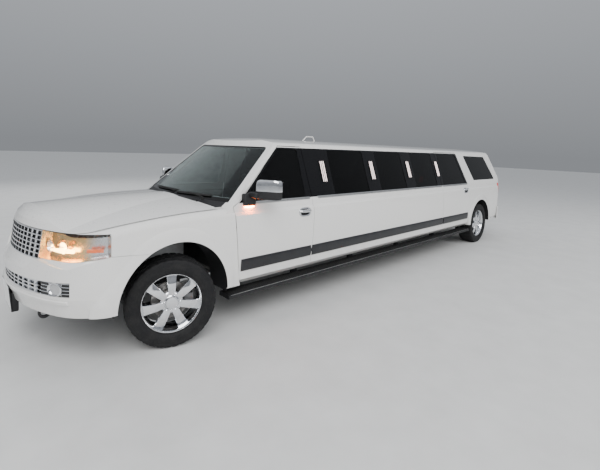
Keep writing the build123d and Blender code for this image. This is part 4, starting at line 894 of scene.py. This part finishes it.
# Mirror case: heights with the share of the full outline that each has
CASE_LEVELS = [
    (1.303, 0.72), (1.306, 0.86), (1.314, 0.95), (1.332, 0.99), (1.383, 1.0), (1.387, 1.0),
    (1.440, 0.995), (1.476, 0.97), (1.492, 0.91), (1.499, 0.82), (1.502, 0.66),
]
# Chrome above this height and black plastic below it
CASE_SPLIT_Z = 1.385
CASE_SQUARE = 0.45
MIRROR_LAMP_LINE = [(2.800, 0.968, 1.219), (2.745, 0.978, 1.216), (2.690, 0.976, 1.219)]

# Wheel arches: panel, x of the axle; distance from the axle, and how far a face looks at it
ARCHES = [("fender", FRONT_AXLE_X), ("quarter_panel", REAR_AXLE_X)]
ARCH_REACH, ARCH_LOOK = 0.56, 0.6

# Raised plates: name, CAD node, half width, heights, steps across and up, thickness, material,
# body, and where they are seen from
PLATES = [
    ("intake_lip", "front_bumper", 0.86, (0.556, 0.592), (48, 6), 0.012, PAINT, "body", "ahead"),
    ("gate_strip", "liftgate", 0.52, (1.020, 1.070), (24, 4), 0.010, CHROME, "liftgate", "behind"),
    ("gate_plate", "liftgate", 0.152, (0.830, 0.980), (8, 6), 0.003, PLATE, "liftgate", "behind"),
    ("high_brake_lamp", "liftgate", 0.16, (1.768, 1.786), (10, 3), 0.006, RED_LENS, "liftgate", "behind"),
    ("rear_step_pad", "rear_bumper", 0.62, (0.640, 0.680), (24, 4), 0.004, BLACK_PLASTIC, "body", "behind"),
]


def mirror_shell(bm, sign):
    """The case of a door mirror, narrower towards its outer end."""
    rows = []
    for z, share in CASE_LEVELS:
        row = []
        for u, v in squared(CASE_SQUARE):
            front, back = 2.684 - 0.073 * share * u, 2.561 - 0.022 * share * u
            x = 0.5 * (front + back + share * v * (front - back))
            row.append((x, sign * (1.150 + 0.107 * share * u), z))
        rows.append(row)
    made, faces = grid(bm, rows, close_columns=True)
    for face in faces:
        face.material_index = int(face.calc_center_median().z < CASE_SPLIT_Z)
    bm.faces.new(made[0]).material_index = 1
    bm.faces.new(made[-1]).material_index = 0


def mirrors():
    """Each mirror has a case, its glass, a foot, and an amber lamp under the foot."""
    for side, sign in SIDES:
        bm = bmesh.new()
        mirror_shell(bm, sign)
        y0, y1 = span(1.066, 1.236, sign)
        box(bm, (2.5535, y0, 1.322), (2.5600, y1, 1.484), 0.003, index=2, turn=rotation(12 * sign, "Z"))
        y0, y1 = span(0.918, 0.990, sign)
        box(bm, (2.668, y0, 1.226), (2.818, y1, 1.352), 0.018, 4, index=1)
        y0, y1 = span(0.960, 1.090, sign)
        box(bm, (2.672, y0, 1.312), (2.762, y1, 1.370), 0.014, 4, index=1)
        door = f"front_door_{side}"
        case = add(f"mirror_case_{side}", bm, [CHROME, BLACK_PLASTIC, MIRROR], door, smooth=35)
        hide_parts(f"mirror_{side}")
        bm = bmesh.new()
        tube(bm, mirrored(MIRROR_LAMP_LINE, sign), [0.006, 0.008, 0.006], 10)
        add(f"mirror_lamp_{side}", bm, AMBER_GLOW, door, smooth=60)


def dark_arches():
    """Black inside the wheel arches, where the panels' edges face the wheels: painted shade of the arches.
    """
    for panel, axle_x in ARCHES:
        def faces_wheel(face):
            to_wheel = Vector((axle_x - face.center.x, 0, TYRE_R - face.center.z))
            return to_wheel.length < ARCH_REACH and face.normal.dot(to_wheel.normalized()) > ARCH_LOOK
        for side, _ in SIDES:
            # Painted shade: the panels' faces that look at the wheel take black plastic
            split_faces(f"{panel}_{side}", BLACK_PLASTIC, faces_wheel)


def front_plate():
    """A blank plate that leans forward on its black bracket."""
    bm = bmesh.new()
    lean = rotation(6, "Y")
    box(bm, (4.600, -0.160, 0.335), (4.656, 0.160, 0.505), 0.008, 3)
    box(bm, (4.657, -0.170, 0.340), (4.667, 0.170, 0.576), 0.004, turn=lean)
    box(bm, (4.666, -0.155, 0.350), (4.669, 0.155, 0.566), 0.001, 1, index=1, turn=lean)
    add("front_plate", bm, [BLACK_PLASTIC, PLATE], "body")


def raised_plates():
    """Lip under the intake, fittings of the liftgate, and the rear step."""
    for name, node, half, heights, count, full, material, body, look in PLATES:
        us, vs = edged(-half, half, count[0]), edged(*heights, count[1])
        relief(name, node, us, vs, crown(us, vs, full), material, body, look, smooth=40)


def wiper_arms():
    """Arms that carry the two blades from pivots on the cowl."""
    bm = bmesh.new()
    for y in (-0.02, 0.60):
        tube(bm, [(3.075, y, 1.262), (3.072, y, 1.292)], 0.014, 12)
        arm = [(3.075, y, 1.290), (3.090, y - 0.05, 1.304), (3.10, y - 0.27, 1.315)]
        tube(bm, arm, [0.010, 0.008, 0.005], 8)
    add("wiper_arms", bm, SOFT_RUBBER, "body")


def running_board_pads():
    """Ribbed rubber treads with a bright edge on top of the boards."""
    for side, sign in SIDES:
        bm = bmesh.new()
        for k in range(9):
            y = (0.885 + 0.014 * k) * sign
            box(bm, (-2.70, y - 0.004, 0.3575), (2.96, y + 0.004, 0.3610), 0.001, 1)
        y0, y1 = span(1.018, 1.024, sign)
        box(bm, (-2.72, y0, 0.3565), (2.98, y1, 0.3600), 0.002, index=1)
        add(f"board_treads_{side}", bm, [SOFT_RUBBER, SATIN], "body")


mirrors()
dark_arches()
front_plate()
raised_plates()
wiper_arms()
running_board_pads()


# Cabin

FLOOR_Z = 0.5385
SEAT_TILT = -10.5
FRONT_SEAT_Y = 0.4

# The front seat's cushions: name, low corner, high corner, tilt, inset, voxel, cap
FRONT_CUSHIONS = [
    ("seat_cushion", (1.800, 0.150, 0.700), (2.305, 0.650, 0.842), 0, 0.006, 0.009, 0.020),
    ("seat_back", (1.700, 0.155, 0.790), (1.815, 0.645, 1.268), SEAT_TILT, 0.005, 0.009, 0.020),
    ("head_rest", (1.685, 0.285, 1.285), (1.770, 0.515, 1.430), 0, 0.004, 0.007, 0.014),
]

# The lounge's first cushions, with the same columns; the others are copies of them
BENCH_SEAT = ("bench_seat_1", (-1.537, -0.880, 0.742), (-0.973, -0.440, 0.893), 0, 0.006, 0.010, 0.020)
BENCH_BACK = ("bench_back_1", (-1.537, -0.884, 0.900), (-0.973, -0.790, 1.222), 0, 0.005, 0.010, 0.016)
# Places on the side bench and across the rear, and their pitch
SIDE_PLACES, SIDE_PITCH = 5, 0.576
REAR_PLACES, REAR_PITCH, REAR_WIDTH, REAR_X = 3, 0.547, 0.535, -2.650

CLOTH_PRESSURE, CLOTH_FRAMES, QUICK_VOXEL = 4, 20, 0.02


def soft_block(name, low, high, tilt, inset):
    """A box with soft corners, as the start of a cushion."""
    bm = bmesh.new()
    low = [a + inset for a in low]
    high = [a - inset for a in high]
    box(bm, low, high, 0.028, 4)
    if tilt:
        middle = Vector([(a + b) / 2 for a, b in zip(low, high)])
        bmesh.ops.rotate(bm, cent=middle, matrix=rotation(tilt, "Y"), verts=bm.verts)
    return from_bmesh(name, bm)


def apply_modifiers(piece):
    """Replaces a piece's mesh with what its modifiers make of it."""
    graph = bpy.context.evaluated_depsgraph_get()
    made = bpy.data.meshes.new_from_object(piece.evaluated_get(graph))
    piece.modifiers.clear()
    piece.data = made


def inflate(piece):
    """Blows a closed mesh up like a filled cover."""
    cloth = piece.modifiers.new("cloth", "CLOTH")
    cloth.settings.use_pressure = True
    cloth.settings.uniform_pressure_force = CLOTH_PRESSURE
    cloth.settings.effector_weights.gravity = 0
    cloth.settings.quality = 4
    cloth.collision_settings.use_collision = False
    cloth.point_cache.frame_start, cloth.point_cache.frame_end = 1, CLOTH_FRAMES
    for number in range(1, CLOTH_FRAMES + 1):
        bpy.context.scene.frame_set(number)
    apply_modifiers(piece)
    bpy.context.scene.frame_set(1)


def stuffed(name, low, high, tilt, inset, voxel, cap):
    """A stuffed leather cushion; cap is the farthest that any of its points moves."""
    piece = soft_block(name, low, high, tilt, inset)
    bpy.context.view_layer.objects.active = piece
    remesh = piece.modifiers.new("remesh", "REMESH")
    remesh.mode = "VOXEL"
    remesh.voxel_size = voxel
    apply_modifiers(piece)
    rest = [v.co.copy() for v in piece.data.vertices]
    inflate(piece)
    for v, old in zip(piece.data.vertices, rest):
        move = v.co - old
        if move.length > cap:
            v.co = old + move.normalized() * cap
    piece.data.materials.append(LEATHER)
    piece.data.shade_smooth()
    return piece


def placed_copy(source, name, place):
    """A copy of a cushion with its own mesh, put in place by a matrix."""
    piece = link(name, source.data.copy())
    piece.data.transform(place)
    return piece


def cushion(piece):
    """Puts a stuffed piece on the body."""
    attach(piece, "body")


def front_seats():
    """Two bucket seats: stuffed cushion, back and head rest, with piping, on plastic bases."""
    for name, *shape in FRONT_CUSHIONS:
        piece = stuffed(f"{name}_left", *shape)
        cushion(placed_copy(piece, f"{name}_right", Matrix.Translation((0, -2 * FRONT_SEAT_Y, 0))))
        cushion(piece)
        if name == "seat_cushion":
            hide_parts("front_seats")
    for side, sign in SIDES:
        y = FRONT_SEAT_Y * sign
        bm = bmesh.new()
        box(bm, (1.820, y - 0.21, 0.560), (2.230, y + 0.21, 0.705), 0.020, 3)
        for rail in (-0.17, 0.17):
            box(bm, (1.780, y + rail - 0.02, FLOOR_Z), (2.260, y + rail + 0.02, 0.565), 0.003, 1)
        for post in (-0.06, 0.06):
            tube(bm, [(1.715, y + post, 1.235), (1.728, y + post, 1.30)], 0.006, 10, index=1)
        add(f"seat_base_{side}", bm, [DASH_PLASTIC, SATIN], "body")
        bm = bmesh.new()
        for shift in (-0.115, 0.115):
            seam = [(1.86, 0.850), (2.00, 0.858), (2.15, 0.858), (2.26, 0.850)]
            tube(bm, [(x, y + shift, z) for x, z in seam], 0.004, 8)
        add(f"seat_piping_{side}", bm, PIPING, "body")


def extents(piece):
    points = [v.co for v in piece.data.vertices]
    return [Vector([pick(p[i] for p in points) for i in range(3)]) for pick in (min, max)]


def rear_bench(seat, back):
    """Places across the rear: turned copies, each made to fit its depth and width."""
    turn = rotation(-90, "Z") @ Matrix.Translation((1.255, 0, 0))
    for k in range(REAR_PLACES):
        y = REAR_PITCH * (k - 1)
        for source, name, depth in ((seat, "rear_seat", 0.500), (back, "rear_back", 0.110)):
            piece = placed_copy(source, f"{name}_{k + 1}", turn)
            low, high = extents(piece)
            size = (depth / (high.x - low.x), REAR_WIDTH / (high.y - low.y), 1, 1)
            piece.data.transform(Matrix.Diagonal(size))
            low, high = extents(piece)
            piece.data.transform(Matrix.Translation((REAR_X - low.x, y - (low.y + high.y) / 2, 0)))
            cushion(piece)


def lounge():
    """A bench down the right side and one across the rear, on plinths with a lit line."""
    seat, back = stuffed(*BENCH_SEAT), stuffed(*BENCH_BACK)
    for k in range(1, SIDE_PLACES):
        for piece in (seat, back):
            place = Matrix.Translation((SIDE_PITCH * k, 0, 0))
            cushion(placed_copy(piece, f"{piece.name[:-1]}{k + 1}", place))
    rear_bench(seat, back)
    cushion(seat)
    cushion(back)
    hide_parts("lounge_seat")
    bm = bmesh.new()
    box(bm, (-1.540, -0.885, FLOOR_Z), (1.335, -0.450, 0.742), 0.006)
    box(bm, (-2.655, -0.815, FLOOR_Z), (-2.160, 0.815, 0.742), 0.006)
    box(bm, (-1.50, -0.4495, 0.70), (1.30, -0.4435, 0.715), 0.001, 1, index=1)
    add("bench_plinths", bm, [LACQUER, PILLAR_GLOW], "body")


def bar():
    """The bar's top, its doors with bright pulls, and a lit line."""
    bm = bmesh.new()
    box(bm, (-1.170, 0.628, 1.156), (1.145, 0.892, 1.176), 0.006, 3)
    for k in range(5):
        x = -1.10 + 0.45 * k
        box(bm, (x, 0.632, 0.600), (x + 0.42, 0.641, 1.110), 0.004, index=1)
        tube(bm, [(x + 0.38, 0.625, 0.80), (x + 0.38, 0.625, 0.92)], 0.005, 8, index=2)
    box(bm, (-1.15, 0.634, 1.130), (1.13, 0.640, 1.138), 0.001, 1, index=3)
    add("bar_top_and_doors", bm, [GLOSS_BLACK, LACQUER, SATIN, PILLAR_GLOW], "body")


def dash_fittings():
    """Instrument hood, screen and vents, and the console between the seats."""
    bm = bmesh.new()
    box(bm, (2.560, 0.200, 1.060), (2.720, 0.600, 1.115), 0.020, 4)
    box(bm, (2.572, -0.120, 0.880), (2.590, 0.120, 1.040), 0.006, index=1)
    for y in (-0.68, -0.50, 0.16, 0.64):
        box(bm, (2.575, y - 0.055, 0.985), (2.590, y + 0.055, 1.045), 0.006, index=1)
    box(bm, (2.10, -0.09, FLOOR_Z), (2.56, 0.09, 0.800), 0.020, 3)
    add("dash_fittings", bm, [DASH_PLASTIC, GLOSS_BLACK], "body")


def arm_rests():
    """An arm rest and a bright pull on the inside of each door."""
    for side, sign in SIDES:
        for door, x0, x1 in (("front_door", 1.93, 2.55), ("rear_door", -2.35, -1.80)):
            bm = bmesh.new()
            y0, y1 = span(0.868, 0.936, sign)
            box(bm, (x0, y0, 0.800), (x1, y1, 0.860), 0.018, 3)
            pull = [(x0 + 0.10, 0.925, 1.00), (x0 + 0.12, 0.905, 1.00),
                    (x0 + 0.26, 0.905, 1.00), (x0 + 0.28, 0.925, 1.00)]
            tube(bm, mirrored(pull, sign), 0.008, 10, index=1)
            add(f"arm_rest_{door}_{side}", bm, [LEATHER, CHROME], f"{door}_{side}")


def engine_bay():
    """Ribbed cover and air duct on the engine, and a fan shroud."""
    bm = bmesh.new()
    box(bm, (3.150, -0.240, 0.958), (3.820, 0.240, 1.015), 0.020, 3)
    for k in range(7):
        y = -0.18 + 0.06 * k
        box(bm, (3.20, y - 0.012, 1.013), (3.77, y + 0.012, 1.023), 0.004)
    duct = [(3.60, -0.22, 0.98), (3.72, -0.30, 0.99), (3.95, -0.32, 0.98), (4.15, -0.30, 0.95)]
    tube(bm, duct, 0.040, 16)
    box(bm, (4.150, -0.40, 0.820), (4.206, 0.40, 1.030), 0.010)
    add("engine_cover", bm, BLACK_PLASTIC, "body")


front_seats()
lounge()
bar()
dash_fittings()
arm_rests()
engine_bay()


# Stage

# The sky is dim at the horizon, so that dark glass stays dark, and bright overhead
SKY_RAMP = {"From Min": 0.0, "From Max": 0.9, "To Min": 0.30, "To Max": 0.85}
SKY_COLOR = (0.86, 0.90, 0.96, 1)

# Soft lamps: name, place, size, power, and whether polished surfaces mirror it
LAMPS = [
    ("key", (9, 9, 10), 10, 1900, True),
    ("fill", (-7, 12, 7), 9, 900, False),
    ("back", (2, -11, 8), 9, 500, False),
]
LAMPS_AIM = (0, 0, 0.8)

# Camera at the photograph's place: position, heading and tilt from a fit to the car's straight lines
CAMERA_AT = (5.160, 4.074, 1.835)
CAMERA_YAW, CAMERA_PITCH, CAMERA_ROLL = -132.6, -3.255, 2.136
CAMERA_LENS, CAMERA_SHIFT = 23.10, (0.0294, -0.1093)


def ground():
    """A wide pale floor, just under the tyres."""
    bpy.ops.mesh.primitive_plane_add(size=120, location=(0, 0, -0.001))
    floor = bpy.context.object
    floor.name = "floor"
    s = Shader("floor", (0.62, 0.62, 0.61), 0.75)
    s.color(s.mix(s.spread(s.noise(3, 6), 0.3, 0.7), (0.60, 0.60, 0.59), (0.66, 0.66, 0.65)))
    s.bump(s.noise(60, 4), 0.15, 0.002)
    floor.data.materials.append(s.material)


def sky():
    """Soft light from all round, stronger towards the top."""
    world = bpy.data.worlds.new("studio")
    bpy.context.scene.world = world
    world.use_nodes = True
    tree = world.node_tree
    place = tree.nodes.new("ShaderNodeTexCoord")
    split = tree.nodes.new("ShaderNodeSeparateXYZ")
    ramp = tree.nodes.new("ShaderNodeMapRange")
    for key, number in SKY_RAMP.items():
        ramp.inputs[key].default_value = number
    tree.links.new(place.outputs["Generated"], split.inputs[0])
    tree.links.new(split.outputs["Z"], ramp.inputs["Value"])
    background = tree.nodes["Background"]
    background.inputs["Color"].default_value = SKY_COLOR
    tree.links.new(ramp.outputs[0], background.inputs["Strength"])


def lamps():
    """Large soft lamps that aim at the middle of the car."""
    for name, at, size, power, shows in LAMPS:
        lamp = bpy.data.lights.new(name, "AREA")
        lamp.size = size
        lamp.energy = power
        holder = link(name, lamp)
        holder.location = at
        holder.visible_glossy = shows
        holder.rotation_euler = (Vector(LAMPS_AIM) - Vector(at)).to_track_quat("-Z", "Y").to_euler()


def camera():
    data = bpy.data.cameras.new("camera")
    data.lens, data.sensor_width = CAMERA_LENS, 36
    data.shift_x, data.shift_y = CAMERA_SHIFT
    data.clip_end = 200
    eye = link("camera", data)
    turn = rotation(CAMERA_YAW - 90, "Z") @ rotation(90 + CAMERA_PITCH, "X") @ rotation(CAMERA_ROLL, "Z")
    eye.matrix_world = Matrix.Translation(CAMERA_AT) @ turn
    bpy.context.scene.camera = eye


ground()
sky()
lamps()
camera()
